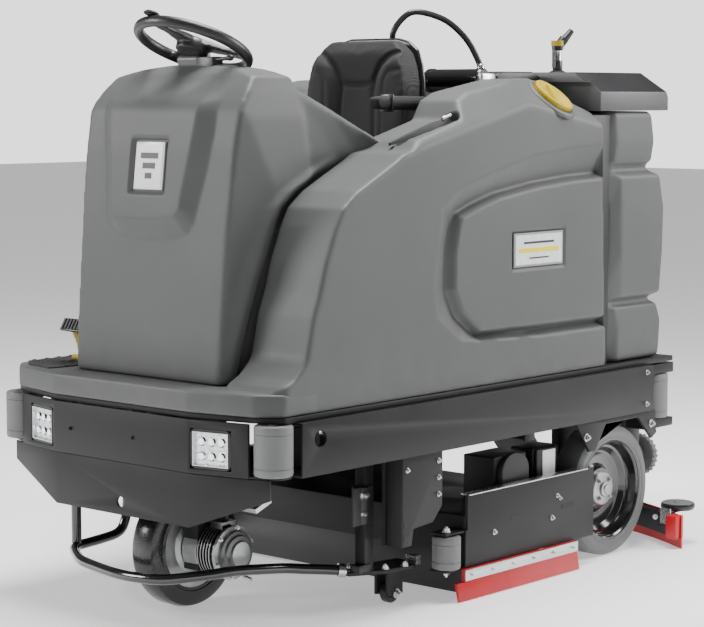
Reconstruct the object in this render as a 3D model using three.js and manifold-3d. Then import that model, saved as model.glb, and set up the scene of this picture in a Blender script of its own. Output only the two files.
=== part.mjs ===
import * as THREE from 'three';
import { mergeVertices } from 'three/addons/utils/BufferGeometryUtils.js';
import Module from 'manifold-3d';

// Ride-on scrubber drier with a steered front drive wheel. Millimetres, +Z up, front towards -Y,
// driver's left towards +X. The origin is on the floor under the middle of the machine.

const wasm = await Module();
wasm.setup();

// Driving dimensions
const GAP = 0.4;                 // clearance kept between pieces that touch
const FRONT = 955;               // centre of the machine to the front bumper
const REAR = 955;                // centre of the machine to the squeegee's rearmost point
const BEAM_X = 520;              // outer face of the side beams
const BEAM_LOW = 418;
const BEAM_HIGH = 554;
const BODY_X = 500;              // outer face of the moulded tanks
const BODY_LOW = 570;
const SHELL_IN = 300;            // inner face of the tank walls beside the driver
const STEP_HIGH = 627;           // standing height of the step platform
const DRIVE_Y = -712;            // steering axis of the front drive unit
const DRIVE_R = 165;
const REAR_AXLE_Y = 558;
const REAR_R = 195;
const WHEEL_TILT = THREE.MathUtils.degToRad(23.5);
const WHEEL_HUB = new THREE.Vector3(0, -677, 1486);
const ROLLER_R = 49;             // corner bumper rollers
const DECK_FRONT = -162;
const DECK_REAR = 426;
const DECK_X = 516;
const BRUSH_R = 62;
const TANK_FRONT = 543;
const TANK_REAR = 868;
const SQUEEGEE_HALF = 603;
const DRAIN_X = 372;             // the recovery tank's drain neck
const DRAIN_Y = 820;
const DRAIN_Z = 250;
const DRAIN_REAR = 860;
const LIFT_PIVOT = [700, 300];   // Y and Z of the squeegee's lifting axis

// Solids: closed three.js shapes, joined and cut as manifolds

function solid(geometry) {
  const bare = geometry.clone();
  bare.deleteAttribute('normal');
  bare.deleteAttribute('uv');
  const merged = mergeVertices(bare, 1e-4);
  const index = merged.index ?? mergeVertices(merged).index;
  return new wasm.Manifold(new wasm.Mesh({
    numProp: 3,
    vertProperties: new Float32Array(merged.attributes.position.array),
    triVerts: new Uint32Array(index.array),
  }));
}

function geometryOf(manifold) {
  const mesh = manifold.getMesh();
  const geometry = new THREE.BufferGeometry();
  geometry.setAttribute('position', new THREE.BufferAttribute(new Float32Array(mesh.vertProperties), 3));
  geometry.setIndex(new THREE.BufferAttribute(new Uint32Array(mesh.triVerts), 1));
  geometry.computeVertexNormals();
  return geometry;
}

function joined(first, ...others) {
  return others.reduce((sum, other) => sum.add(other), first);
}

function cut(first, ...others) {
  return others.reduce((rest, other) => rest.subtract(other), first);
}

function block(x, y, z) {
  const box = new THREE.BoxGeometry(x[1] - x[0], y[1] - y[0], z[1] - z[0]);
  box.translate((x[0] + x[1]) / 2, (y[0] + y[1]) / 2, (z[0] + z[1]) / 2);
  return solid(box);
}

// An outline drawn on one plane and pushed along the third axis.
const PLANES = {
  z: new THREE.Matrix4().makeBasis(
    new THREE.Vector3(1, 0, 0), new THREE.Vector3(0, 1, 0), new THREE.Vector3(0, 0, 1)),
  x: new THREE.Matrix4().makeBasis(
    new THREE.Vector3(0, 1, 0), new THREE.Vector3(0, 0, 1), new THREE.Vector3(1, 0, 0)),
  y: new THREE.Matrix4().makeBasis(
    new THREE.Vector3(-1, 0, 0), new THREE.Vector3(0, 0, 1), new THREE.Vector3(0, 1, 0)),
};

function prism(outline, axis, from, to) {
  const flip = axis === 'y' ? -1 : 1;
  const shape = new THREE.Shape(outline.map(([u, v]) => new THREE.Vector2(flip * u, v)));
  const geometry = new THREE.ExtrudeGeometry(shape, { depth: to - from, bevelEnabled: false });
  geometry.translate(0, 0, from);
  geometry.applyMatrix4(PLANES[axis]);
  return solid(geometry);
}

// A cylinder along X, Y or Z from one station to another.
function drum(radius, axis, from, to, centre, sides = 24) {
  const geometry = new THREE.CylinderGeometry(radius, radius, to - from, sides);
  const middle = (from + to) / 2;
  if (axis === 'x') {
    geometry.rotateZ(-Math.PI / 2);
    geometry.translate(middle, centre[0], centre[1]);
  } else if (axis === 'y') {
    geometry.translate(centre[0], middle, centre[1]);
  } else {
    geometry.rotateX(Math.PI / 2);
    geometry.translate(centre[0], centre[1], middle);
  }
  return solid(geometry);
}

// A turned ring or disc about an axis along X: profile points are [radius, x].
function turnedX(profile, centreY, centreZ, sides) {
  const geometry = new THREE.LatheGeometry(profile.map(([r, x]) => new THREE.Vector2(r, x)), sides);
  geometry.rotateZ(-Math.PI / 2);
  geometry.translate(0, centreY, centreZ);
  return closedOut(geometry);
}

// Turns a lathed or swept shape the right way out and merges it into one body.
function closedOut(geometry) {
  let body = solid(geometry);
  if (body.volume() < 0) {
    const flipped = geometry.clone();
    const index = flipped.index.array;
    for (let i = 0; i < index.length; i += 3) {
      const first = index[i];
      index[i] = index[i + 2];
      index[i + 2] = first;
    }
    body = solid(flipped);
  }
  return body;
}

function tube(points, radius, steps, sides = 8) {
  const stations = points.map((p) => new THREE.Vector3(...p));
  const curve = new THREE.CatmullRomCurve3(stations, false, 'catmullrom', 0.5);
  const ring = new THREE.Shape();
  for (let i = 0; i < sides; i += 1) {
    const angle = 2 * Math.PI * i / sides;
    const x = radius * Math.cos(angle);
    const y = radius * Math.sin(angle);
    if (i === 0) ring.moveTo(x, y);
    else ring.lineTo(x, y);
  }
  const geometry = new THREE.ExtrudeGeometry(ring, { steps, extrudePath: curve, bevelEnabled: false });
  return closedOut(geometry);
}

// Outlines on both sides of the machine: the points given for +X, then the same points for -X.
function bothSides(points) {
  return [...points, ...points.map(([x, y]) => [-x, y]).reverse()];
}

const FINISH = {
  moulding: { color: 0x6b6c6c, roughness: 0.55, metalness: 0 },
  frame: { color: 0x2a2a2a, roughness: 0.45, metalness: 0.2 },
  black_plastic: { color: 0x1c1c1d, roughness: 0.5, metalness: 0 },
  grey_rubber: { color: 0x8f9090, roughness: 0.7, metalness: 0 },
  black_rubber: { color: 0x161616, roughness: 0.75, metalness: 0 },
  red_rubber: { color: 0xc8142f, roughness: 0.5, metalness: 0 },
  steel: { color: 0xb9bbbd, roughness: 0.3, metalness: 1 },
  yellow: { color: 0xf2cf00, roughness: 0.4, metalness: 0 },
  upholstery: { color: 0x202022, roughness: 0.85, metalness: 0 },
  lens: { color: 0xe8ecef, roughness: 0.15, metalness: 0 },
  bristle: { color: 0xa8202c, roughness: 0.8, metalness: 0 },
};

const machine = new THREE.Group();

function piece(name, body, finish) {
  const mesh = new THREE.Mesh(geometryOf(body), new THREE.MeshStandardMaterial(FINISH[finish]));
  mesh.name = name;
  machine.add(mesh);
}

// Left and right copies of a piece that is made for the +X side.
function pair(name, make, finish) {
  piece(`${name}_left`, make(1), finish);
  piece(`${name}_right`, make(-1), finish);
}

function span(side, low, high) {
  return side > 0 ? [low, high] : [-high, -low];
}

// ---- Chassis -------------------------------------------------------------------------------

// Side beams: C-shaped folded plate with the web outside and a round port near the front.
const BEAM_FRONT = -822;
const BEAM_REAR = 727;
const PLATE = 6;
function sideBeam(side) {
  const web = block(span(side, BEAM_X - PLATE, BEAM_X), [BEAM_FRONT, BEAM_REAR], [BEAM_LOW, BEAM_HIGH]);
  const inner = span(side, BEAM_X - 55, BEAM_X);
  const top = block(inner, [BEAM_FRONT, BEAM_REAR], [BEAM_HIGH - PLATE, BEAM_HIGH]);
  const bottom = block(inner, [BEAM_FRONT, BEAM_REAR], [BEAM_LOW, BEAM_LOW + PLATE]);
  const port = drum(20, 'x', ...span(side, BEAM_X - 20, BEAM_X + 5), [-755, 509]);
  return cut(joined(web, top, bottom), port);
}
pair('side_beam', sideBeam, 'frame');

// Plan of the faceted front: a flat middle and two swept corners.
function frontPlan(inset, rear, halfWidth) {
  return bothSides([
    [halfWidth, rear],
    [halfWidth, -862],
    [440 - inset, -914 + inset],
    [250, -FRONT + inset],
  ]);
}

// Floor tray: a folded sheet over the beams that carries the tanks and the battery.
const FLOOR_HALF = 500;
const floorOuter = prism(frontPlan(12, 860, FLOOR_HALF), 'z', BEAM_HIGH + GAP, BODY_LOW - GAP);
const floorInner = prism(frontPlan(20, 852, FLOOR_HALF - 8), 'z', BEAM_HIGH - 5, BODY_LOW - GAP - PLATE);
const drainHole = drum(34, 'z', BEAM_HIGH - 14, BODY_LOW + 10, [DRAIN_X, DRAIN_Y], 20);
piece('chassis_floor', cut(floorOuter, floorInner, drainHole), 'frame');

// Front bumper: faceted plate with a bottom shelf that carries the corner rollers' lower pins.
const LAMP_X = 317;
const LAMP_Y = -938;
const LAMP_Z = 482;
const LAMP_TURN = Math.atan2(43, 201);
const BUMPER_WALL = 8;
const bumperFace = prism([
  ...bothSides([[425, -916.7], [250, -FRONT]]),
  ...bothSides([[425, -916.7 + BUMPER_WALL], [250, -FRONT + BUMPER_WALL]]).reverse(),
], 'z', BEAM_LOW, BEAM_HIGH);
const bumperShelf = prism(bothSides([[503, -843], [503, -880], [425, -912], [250, -FRONT + 3]]), 'z',
  BEAM_LOW, BEAM_LOW + PLATE);
function lampBox(side, width, height, near, far) {
  const box = new THREE.BoxGeometry(width, far - near, height);
  box.translate(0, (near + far) / 2, 0);
  box.rotateZ(side * LAMP_TURN);
  box.translate(side * LAMP_X, LAMP_Y, LAMP_Z);
  return solid(box);
}
piece('front_bumper', cut(joined(bumperFace, bumperShelf),
  lampBox(1, 121, 102, -20, 60), lampBox(-1, 121, 102, -20, 60)), 'frame');
pair('headlight', (side) => joined(lampBox(side, 119, 100, -2, 34), lampBox(side, 98, 82, -3, 0)), 'lens');

// Lower fascia: faceted apron plate under the bumper, swept up to both ends.
const FASCIA_LOW = 279;
const fasciaPlan = [
  ...bothSides([[478, -897], [250, -952]]), ...bothSides([[478, -889], [250, -944]]).reverse()];
const fasciaFront = [[-478, 366], [-250, FASCIA_LOW], [250, FASCIA_LOW], [478, 366], [478, 417],
    [-478, 417]];
piece('lower_fascia', cut(
  prism(fasciaPlan, 'z', FASCIA_LOW - 5, BEAM_LOW - GAP).intersect(prism(fasciaFront, 'y', -960, -880)),
  drum(14, 'y', -960, -930, [0, 313])), 'frame');

// Rear crossmember: plate between the beams with a clevis at each end for the rear rollers.
const REAR_ROLLER = [454, 816];
function rearClevis(side) {
  const plate = block(span(side, 420, 495), [BEAM_REAR + GAP, BEAM_REAR + 9], [354, 548]);
  const upper = block(span(side, 425, 495), [BEAM_REAR + 1, 872], [518, 548]);
  const lower = block(span(side, 425, 495), [BEAM_REAR + 1, 872], [354, 380]);
  return joined(plate, upper, lower);
}
function squeegeeHanger(side) {
  return block(span(side, 70, 78), [LIFT_PIVOT[0] - 22, BEAM_REAR + 5], [LIFT_PIVOT[1] - 20, 440]);
}
piece('rear_crossmember', joined(
  block([-421, 421], [BEAM_REAR + GAP, BEAM_REAR + 9], [430, 548]), rearClevis(1), rearClevis(-1),
  squeegeeHanger(1), squeegeeHanger(-1)), 'frame');

// Rear axle brackets: thick plates under the beams with an arch over each rear wheel.
function axleBracket(side) {
  const outline = [[353, BEAM_LOW - GAP], [419, 327], [449, 326], [500, 400], [670, 400], [741, 329],
    [768, 344], [756, BEAM_LOW - GAP]];
  const plate = prism(outline, 'x', ...span(side, 496, 506));
  const spindle = drum(22, 'x', ...span(side, 300, 392), [REAR_AXLE_Y, REAR_R], 16);
  const hanger = block(
    span(side, 300, 330), [REAR_AXLE_Y - 45, REAR_AXLE_Y + 45], [REAR_R - 40, BEAM_LOW - GAP]);
  const shelf = block(
    span(side, 300, 506), [REAR_AXLE_Y - 60, REAR_AXLE_Y + 60], [BEAM_LOW - 14, BEAM_LOW - GAP]);
  return joined(plate, shelf, hanger, spindle);
}
pair('axle_bracket', axleBracket, 'frame');

// ---- Front drive unit ----------------------------------------------------------------------

// Turntable and fork: a swivel disc under the floor tray, with an arm down the wheel's +X side.
const TYRE_IN = -48;
const TYRE_OUT = 32;
piece('drive_fork', joined(
  drum(105, 'z', 520, BEAM_HIGH + GAP - 1, [0, DRIVE_Y], 32),
  block([-60, 95], [DRIVE_Y - 55, DRIVE_Y + 55], [350, 521]),
  block([42, 95], [DRIVE_Y - 55, DRIVE_Y + 55], [DRIVE_R - 50, 351]),
  drum(60, 'x', 42, 95, [DRIVE_Y, DRIVE_R], 28)), 'steel');

piece('drive_motor', joined(
  drum(66, 'x', 95 + GAP, 190, [DRIVE_Y, DRIVE_R], 28),
  drum(70, 'x', 128, 142, [DRIVE_Y, DRIVE_R], 28),
  drum(70, 'x', 154, 176, [DRIVE_Y, DRIVE_R], 28),
  drum(50, 'x', 176, 204, [DRIVE_Y, DRIVE_R], 28)), 'steel');

piece('front_tyre', turnedX([[112, TYRE_IN], [DRIVE_R - 12, TYRE_IN], [DRIVE_R - 3, TYRE_IN + 7],
  [DRIVE_R, TYRE_IN + 18], [DRIVE_R, TYRE_OUT - 18], [DRIVE_R - 3, TYRE_OUT - 7], [DRIVE_R - 12, TYRE_OUT],
  [112, TYRE_OUT], [112, TYRE_IN]], DRIVE_Y, DRIVE_R, 40), 'black_rubber');
piece('front_rim', turnedX([[0, TYRE_IN + 14], [60, TYRE_IN + 14], [70, TYRE_IN + 4],
  [112 - GAP, TYRE_IN + 4], [112 - GAP, TYRE_OUT - 4], [70, TYRE_OUT - 4], [62, TYRE_OUT + 4],
    [0, TYRE_OUT + 4]],
DRIVE_Y, DRIVE_R, 40), 'steel');

// ---- Rear wheels ---------------------------------------------------------------------------

const REAR_TYRE = [398, 488];
const RIM_R = 148;
function rearTyre(side) {
  const [near, far] = REAR_TYRE.map((x) => side * x);
  return turnedX([[RIM_R, near], [REAR_R - 12, near], [REAR_R - 3, near + side * 8],
    [REAR_R, near + side * 20], [REAR_R, far - side * 20], [REAR_R - 3, far - side * 8],
    [REAR_R - 12, far], [RIM_R, far], [RIM_R, near]],
  REAR_AXLE_Y, REAR_R, 44);
}
function rearRim(side) {
  const [near, far] = REAR_TYRE.map((x) => side * x);
  return turnedX([[0, near + side * 4], [RIM_R - GAP, near + side * 4], [RIM_R - GAP, far - side * 4],
    [RIM_R - 12, far - side * 4], [RIM_R - 20, near + side * 30], [50, near + side * 22],
    [34, near + side * 40], [0, near + side * 40]], REAR_AXLE_Y, REAR_R, 44);
}
pair('rear_tyre', rearTyre, 'grey_rubber');
pair('rear_rim', rearRim, 'black_plastic');

// ---- Corner rollers ------------------------------------------------------------------------

function cornerRoller(side, y, low, high, x) {
  return drum(ROLLER_R, 'z', low, high, [side * x, y], 28);
}
pair('front_roller',
  (side) => cornerRoller(side, -873, BEAM_LOW + PLATE + 1, BEAM_HIGH - 1, 470), 'grey_rubber');
pair('rear_roller',
  (side) => cornerRoller(side, REAR_ROLLER[1], 381, 517, REAR_ROLLER[0]), 'grey_rubber');

// ---- Guard hoop round the drive wheel ------------------------------------------------------

const HOOP_R = 14;
const hoopRoute = [
  [-400, -752, 111], [-364, -793, 111], [-261, -862, 111], [-169, -895, 112], [-37, -931, 116],
  [52, -932, 118], [121, -915, 121], [179, -882, 130], [218, -838, 136], [244, -778, 139],
    [262, -702, 133], [276, -626, 125],
  [295, -572, 117], [322, -515, 110], [362, -462, 104],
];
const leftPost = tube([[-400, -752, 105], [-400, -752, 330], [-400, -752, BEAM_HIGH - 10]], HOOP_R, 2, 10);
const leftStay = tube([[-400, -745, 111], [-400, -660, 116], [-400, -600, 124], [-400, -574, 148],
  [-400, -562, 200], [-400, -560, 300], [-400, -560, BEAM_HIGH - 10]], HOOP_R, 16, 10);
piece('guard_hoop', joined(tube(hoopRoute, HOOP_R, 40, 10), leftPost, leftStay), 'black_plastic');

// Foot of the hoop: hanger plate from the beam, arc-shaped shoe and the fork of the guard caster.
const CASTER = [388, -330, 29];
piece('hoop_foot', joined(
  prism([[340, -486], [376, -486], [424, -400], [440, -300], [418, -262], [352, -262], [338, -330]],
    'z', 94, 104),
  block([366, 400], [-452, -418], [100, BEAM_LOW - GAP]),
  block([364, 372], [-372, -310], [26, 96]),
  block([404, 412], [-372, -310], [26, 96])).subtract(tube(hoopRoute, HOOP_R + GAP, 40, 10)), 'frame');
piece('caster_wheel', drum(28, 'x', 374, 402, [CASTER[1] - 8, CASTER[2]], 24), 'black_rubber');

// ---- Moulded body --------------------------------------------------------------------------

// Step platform: full width at the front, then the foot well between the column and the seat.
const WELL_REAR = -270;
const LEFT_TANK_FRONT = -800;
function platformPlan(inset) {
  return [
    [-BODY_X + inset, WELL_REAR - inset], [-BODY_X + inset, -862 + inset * 0.3],
    [-440 + inset * 0.6, -914 + inset],
    [-250, -FRONT + inset], [250, -FRONT + inset], [440 - inset * 0.6, -914 + inset],
    [BODY_X - inset, -862 + inset * 0.3], [BODY_X - inset, LEFT_TANK_FRONT - GAP - inset],
    [SHELL_IN - GAP - inset, LEFT_TANK_FRONT - GAP - inset], [SHELL_IN - GAP - inset, WELL_REAR - inset],
  ];
}
const STEP_WALL = 10;
// The tread is a low pad moulded on the step, where the driver's foot lands.
const tread = block([-480, -320], [-690, -330], [STEP_HIGH - 1, STEP_HIGH + 3]);
piece('step_platform', joined(cut(prism(platformPlan(0), 'z', BODY_LOW, STEP_HIGH),
  prism(platformPlan(STEP_WALL), 'z', BODY_LOW - 5, STEP_HIGH - STEP_WALL)), tread), 'moulding');

// Nose: tapering column cover. Side, plan and front outlines meet in one shell, open underneath.
const NOSE_LOW = STEP_HIGH + GAP;
function noseSolid(inset) {
  const low = NOSE_LOW - (inset > 0 ? 10 : 0);
  const side = [
    [-862 + inset, low], [-854 + inset, 745], [-842 + inset, 895], [-827 + inset, 1057],
    [-808 + inset, 1219],
    [-790 + inset, 1315 - inset], [-770 + inset, 1342 - inset], [-700, 1388 - inset], [-655, 1420 - inset],
    [-620, 1436 - inset], [-590 - inset, 1425 - inset], [-566 - inset, 1380], [-548 - inset, 1100],
    [-540 - inset, low],
  ];
  const plan = bothSides([[300 - inset, -520], [300 - inset, -690 + inset], [268 - inset, -850 + inset],
    [250 - inset, -868 + inset]]);
  const front = bothSides([[300 - inset, low], [292 - inset, 900], [282 - inset, 1200],
    [268 - inset, 1370 - inset], [235 - inset, 1404 - inset], [120, 1428 - inset], [0.01, 1437 - inset]]);
  return prism(side, 'x', -310, 310)
    .intersect(prism(plan, 'z', low, 1450))
    .intersect(prism(front, 'y', -880, -500));
}
// The nose runs back on the left as the wall of the cockpit, down to the joint with the tank.
const cockpitWall = prism([
  [-810, NOSE_LOW], [-779, 715], [-734, 865], [-674, 1027], [-648, 1072], [-592, 1113], [-437, 1187],
  [-405, 1213], [-340, 1222], [-352, 1246], [-382, 1273], [-462, 1322], [-557, 1369], [-600, 1388],
  [-690, 1388],
], 'x', 276, SHELL_IN - GAP);
const columnHole = block([-62, 62], [-752, -640], [1300, 1460]);
piece('nose_shell', cut(joined(noseSolid(0), cockpitWall), noseSolid(10), columnHole), 'moulding');

// Steering column cover: stands in the nose's opening and ends under the wheel's hub.
function alongColumn(radius, from, to, sides) {
  const geometry = new THREE.CylinderGeometry(radius, radius * 1.12, to - from, sides);
  geometry.rotateX(Math.PI / 2);
  geometry.translate(0, 0, (from + to) / 2);
  geometry.rotateX(-WHEEL_TILT);
  geometry.translate(WHEEL_HUB.x, WHEEL_HUB.y, WHEEL_HUB.z);
  return solid(geometry);
}
piece('column_cover', alongColumn(44, -150, -26, 20), 'moulding');

// Left tank wall: rises from the step to the shoulder and closes the cockpit's left side.
const TANK_WALL_REAR = 483;
const leftSide = [
  [LEFT_TANK_FRONT, BODY_LOW], [TANK_WALL_REAR + 26, BODY_LOW], [TANK_WALL_REAR + 20, 700],
  [TANK_WALL_REAR + 5, 1133], [TANK_WALL_REAR, 1308], [460, 1317], [420, 1331], [346, 1377], [288, 1404],
  [157, 1402], [66, 1387], [-66, 1365], [-118, 1343], [-152, 1290], [-236, 1267], [-337, 1240],
    [-372, 1213],
  [-405, 1206], [-437, 1187], [-592, 1113], [-648, 1072], [-674, 1027], [-712, 939], [-734, 865],
  [-757, 810], [-779, 715], [-798, 650],
];
// Everything outside a plane, as a large block standing on it; side -1 mirrors it to the right.
function outside(point, normal, side) {
  const geometry = new THREE.BoxGeometry(900, 900, 400);
  geometry.translate(0, 0, 200);
  const out = new THREE.Vector3(side * normal[0], normal[1], normal[2]).normalize();
  geometry.applyQuaternion(new THREE.Quaternion().setFromUnitVectors(new THREE.Vector3(0, 0, 1), out));
  geometry.translate(side * point[0], point[1], point[2]);
  return solid(geometry);
}
// The shoulder slopes from the crease on the outer face, and has a second facet round the filler cap.
const SHOULDER_POINT = [BODY_X, -60, 1288];
const SHOULDER_NORMAL = [0.737, -0.162, 0.656];
const CAP_POINT = [448, 294, 1346];
const CAP_NORMAL = [0.62, 0.14, 0.77];
function tankWall(outline, side) {
  const body = prism(outline, 'x', ...span(side, SHELL_IN + GAP, BODY_X));
  return cut(body, outside(SHOULDER_POINT, SHOULDER_NORMAL, side), outside(CAP_POINT, CAP_NORMAL, side));
}
piece('solution_tank_left', tankWall(leftSide, 1), 'moulding');

// Right tank wall: only behind the step, so that the driver can walk in from this side.
const rightSide = [
  [WELL_REAR, BODY_LOW], [TANK_WALL_REAR + 26, BODY_LOW], [TANK_WALL_REAR + 20, 700],
  [TANK_WALL_REAR + 5, 1133], [TANK_WALL_REAR, 1308], [460, 1317], [420, 1331], [346, 1377], [288, 1404],
  [157, 1402], [100, 1380], [60, 1320], [20, 1200], [-60, 1120], [-150, 1070], [WELL_REAR, 1000],
];
piece('solution_tank_right', tankWall(rightSide, -1), 'moulding');

// Middle of the tank behind the seat, with a slope that the backrest leans towards.
const CONSOLE_HIGH = 960;
piece('tank_centre', prism([[165, CONSOLE_HIGH + GAP], [TANK_WALL_REAR, CONSOLE_HIGH + GAP],
  [TANK_WALL_REAR, 1390], [232, 1390]], 'x', -SHELL_IN + GAP, SHELL_IN - GAP), 'moulding');

// Seat console: open-bottomed box over the battery.
piece('seat_console', cut(
  block([-SHELL_IN + GAP, SHELL_IN - GAP], [WELL_REAR + GAP, TANK_WALL_REAR], [BODY_LOW, CONSOLE_HIGH]),
  block([-SHELL_IN + 10, SHELL_IN - 10], [WELL_REAR + 10, TANK_WALL_REAR - 10],
    [BODY_LOW - 5, CONSOLE_HIGH - 10])), 'moulding');
piece('battery_pack', block(
  [-285, 285], [WELL_REAR + 20, TANK_WALL_REAR - 20], [BODY_LOW, CONSOLE_HIGH - 25]), 'black_plastic');

// Top cover behind the seat: a low lid over the suction turbine's bay.
const coverSide = [[238, 1391], [446, 1391], [446, 1412], [410, 1424], [268, 1424], [238, 1414]];
piece('top_cover', prism(coverSide, 'x', -SHELL_IN + 2, SHELL_IN - 2), 'black_plastic');

// ---- Recovery tank and lid -----------------------------------------------------------------

const TANK_LID_LOW = 1310;
function tankPlan(inset) {
  return bothSides([[490 - inset, TANK_FRONT + inset], [490 - inset, TANK_REAR - 70 - inset * 0.4],
    [440 - inset * 0.5, TANK_REAR - inset]]);
}
// The drain neck comes down through the floor tray and turns to the rear.
const drainNeck = joined(drum(28, 'z', DRAIN_Z, BODY_LOW + 10, [DRAIN_X, DRAIN_Y], 20),
  drum(30, 'y', DRAIN_Y - 28, DRAIN_REAR, [DRAIN_X, DRAIN_Z], 24));
piece('recovery_tank', joined(cut(prism(tankPlan(0), 'z', BODY_LOW, TANK_LID_LOW - GAP),
  prism(tankPlan(16), 'z', BODY_LOW + 30, TANK_LID_LOW + 5)), drainNeck), 'moulding');

const lidSide = [[486, 1311], [838, 1311], [838, 1350], [800, 1423], [452, 1423], [452, 1394], [486, 1394]];
const lidFront = bothSides([[484, 1305], [484, 1366], [410, 1423]]);
const lidBody = prism(lidSide, 'x', -484, 484).intersect(prism(lidFront, 'y', 440, 850));
const lidHollow = prism([[500, 1300], [826, 1300], [826, 1348], [792, 1412], [500, 1412]], 'x', -400, 400);
const lidPad = block([-350, 60], [560, 760], [1422, 1425]);
piece('recovery_lid', joined(cut(lidBody, lidHollow), lidPad), 'black_plastic');

// Filler cap on the left shoulder's second facet.
const CAP_R = 64;
const capAxis = new THREE.Vector3(...CAP_NORMAL).normalize();
const capDisc = new THREE.CylinderGeometry(CAP_R, CAP_R, 18, 32);
capDisc.translate(0, 10, 0);
capDisc.applyQuaternion(new THREE.Quaternion().setFromUnitVectors(new THREE.Vector3(0, 1, 0), capAxis));
capDisc.translate(...CAP_POINT);
piece('filler_cap', solid(capDisc), 'yellow');

// Drain cap on the recovery tank's sump, behind the left rear wheel.
piece('drain_cap', drum(62, 'y', DRAIN_REAR + GAP, DRAIN_REAR + 26, [DRAIN_X, DRAIN_Z], 28), 'grey_rubber');

// ---- Seat ----------------------------------------------------------------------------------

const CUSHION_X = 225;
const BACK_X = 200;
piece('seat_cushion', joined(
  prism([[-450, 1010], [-437, 992], [-70, 992], [-70, 1068], [-425, 1080], [-450, 1062]],
    'x', -CUSHION_X, CUSHION_X),
  block([-190, 190], [-262, -50], [CONSOLE_HIGH + GAP, 993])), 'upholstery');
piece('seat_backrest', joined(
  prism([[-58, 1050], [38, 1050], [60, 1490], [42, 1522], [-16, 1522], [-40, 1490]],
    'x', -BACK_X, BACK_X),
  block([-150, 150], [-44, 20], [985, 1052])), 'upholstery');
const ARM_PIVOT = [-12, 1336];
const ARM_IN = 216;
piece('armrest_left', joined(
  prism([[-240, 1330], [-227, 1322], [14, 1318], [14, 1359], [-227, 1359], [-240, 1351]],
    'x', ARM_IN, 262),
  drum(12, 'x', BACK_X + GAP, ARM_IN + 1, ARM_PIVOT, 16)), 'upholstery');

// ---- Steering ------------------------------------------------------------------------------

// Places a shape made round the Z axis onto the tilted steering axis at the wheel's hub.
function onColumn(geometry) {
  geometry.rotateX(-WHEEL_TILT);
  geometry.translate(WHEEL_HUB.x, WHEEL_HUB.y, WHEEL_HUB.z);
  return solid(geometry);
}
const RIM_MAJOR = 149;
const RIM_MINOR = 14;
const wheelRim = onColumn(new THREE.TorusGeometry(RIM_MAJOR, RIM_MINOR, 10, 40));
const hub = new THREE.CylinderGeometry(38, 42, 34, 28);
hub.rotateX(Math.PI / 2);
hub.translate(0, 0, -6);
function spoke(turn) {
  const bar = new THREE.BoxGeometry(RIM_MAJOR, 30, 9);
  bar.translate(RIM_MAJOR / 2, 0, 0);
  bar.rotateZ(turn);
  return onColumn(bar);
}
const SPOKE_TURNS = [-Math.PI / 2, Math.PI / 6, 5 * Math.PI / 6];
piece('steering_wheel', joined(wheelRim, onColumn(hub), ...SPOKE_TURNS.map(spoke)), 'black_plastic');
const KNOB_TURN = THREE.MathUtils.degToRad(262);
const knob = new THREE.LatheGeometry([[0, 15], [12, 15], [12, 17], [22, 18.5], [22.5, 22], [15, 27],
    [0, 28]]
  .map(([r, z]) => new THREE.Vector2(r, z)), 20);
knob.rotateX(Math.PI / 2);
knob.translate(RIM_MAJOR * Math.cos(KNOB_TURN), RIM_MAJOR * Math.sin(KNOB_TURN), 0);
piece('steering_knob', onColumn(knob), 'black_plastic');

// Drive pedal: a sprung lever on the step, to the right of the column.
const PEDAL_PIVOT = [-738, 637];
piece('drive_pedal', joined(
  prism([[-742, 634], [-732, 640], [-768, 736], [-780, 732]], 'x', -412, -342),
  drum(7, 'x', -420, -334, PEDAL_PIVOT, 12)), 'yellow');

// ---- Brush deck ----------------------------------------------------------------------------

const DECK_HIGH = 282;
const BRUSH_Z = 66;
const BRUSH_Y = { front: 0, rear: 150 };
const ROOF_X = 505;
const ROOF_REAR = 355;
const ROOF_LOW = 208;
const ROOF_HIGH = 226;
const MOTOR_HIGH = 352;
piece('deck_housing', joined(
  block([-ROOF_X, ROOF_X], [DECK_FRONT, ROOF_REAR], [ROOF_LOW, ROOF_HIGH]),
  block([-ROOF_X, ROOF_X], [DECK_FRONT, DECK_FRONT + 10], [120, ROOF_LOW + 1]),
  block([-ROOF_X, ROOF_X], [232, ROOF_REAR], [70, ROOF_LOW + 1]),
  block([340, 450], [39, 187], [ROOF_HIGH - 1, MOTOR_HIGH]),
  block([360, 440], [231, ROOF_REAR], [ROOF_HIGH - 1, MOTOR_HIGH]),
  block([-450, -340], [39, 187], [ROOF_HIGH - 1, MOTOR_HIGH])), 'frame');

const DEFLECTOR = { x: 490, y: -221, r: 39, low: 88, high: 180 };
function deckSide(side) {
  const plate = block(span(side, DECK_X - 9, DECK_X), [DECK_FRONT, DECK_REAR], [84, DECK_HIGH]);
  const lug = (low) => block(span(side, 455, 512), [-250, DECK_FRONT - GAP], [low, low + 5]);
  const web = block(span(side, 455, DECK_X), [DECK_FRONT - 9, DECK_FRONT - GAP], [81, 187]);
  const tie = block(span(side, DECK_X - 9, DECK_X), [DECK_FRONT - 9, DECK_FRONT + 2], [90, 187]);
  return joined(plate, lug(81), lug(182), web, tie);
}
pair('deck_side', deckSide, 'frame');
pair('deck_roller', (side) => drum(DEFLECTOR.r, 'z', DEFLECTOR.low, DEFLECTOR.high - 1,
  [side * DEFLECTOR.x, DEFLECTOR.y], 24), 'grey_rubber');

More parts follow.
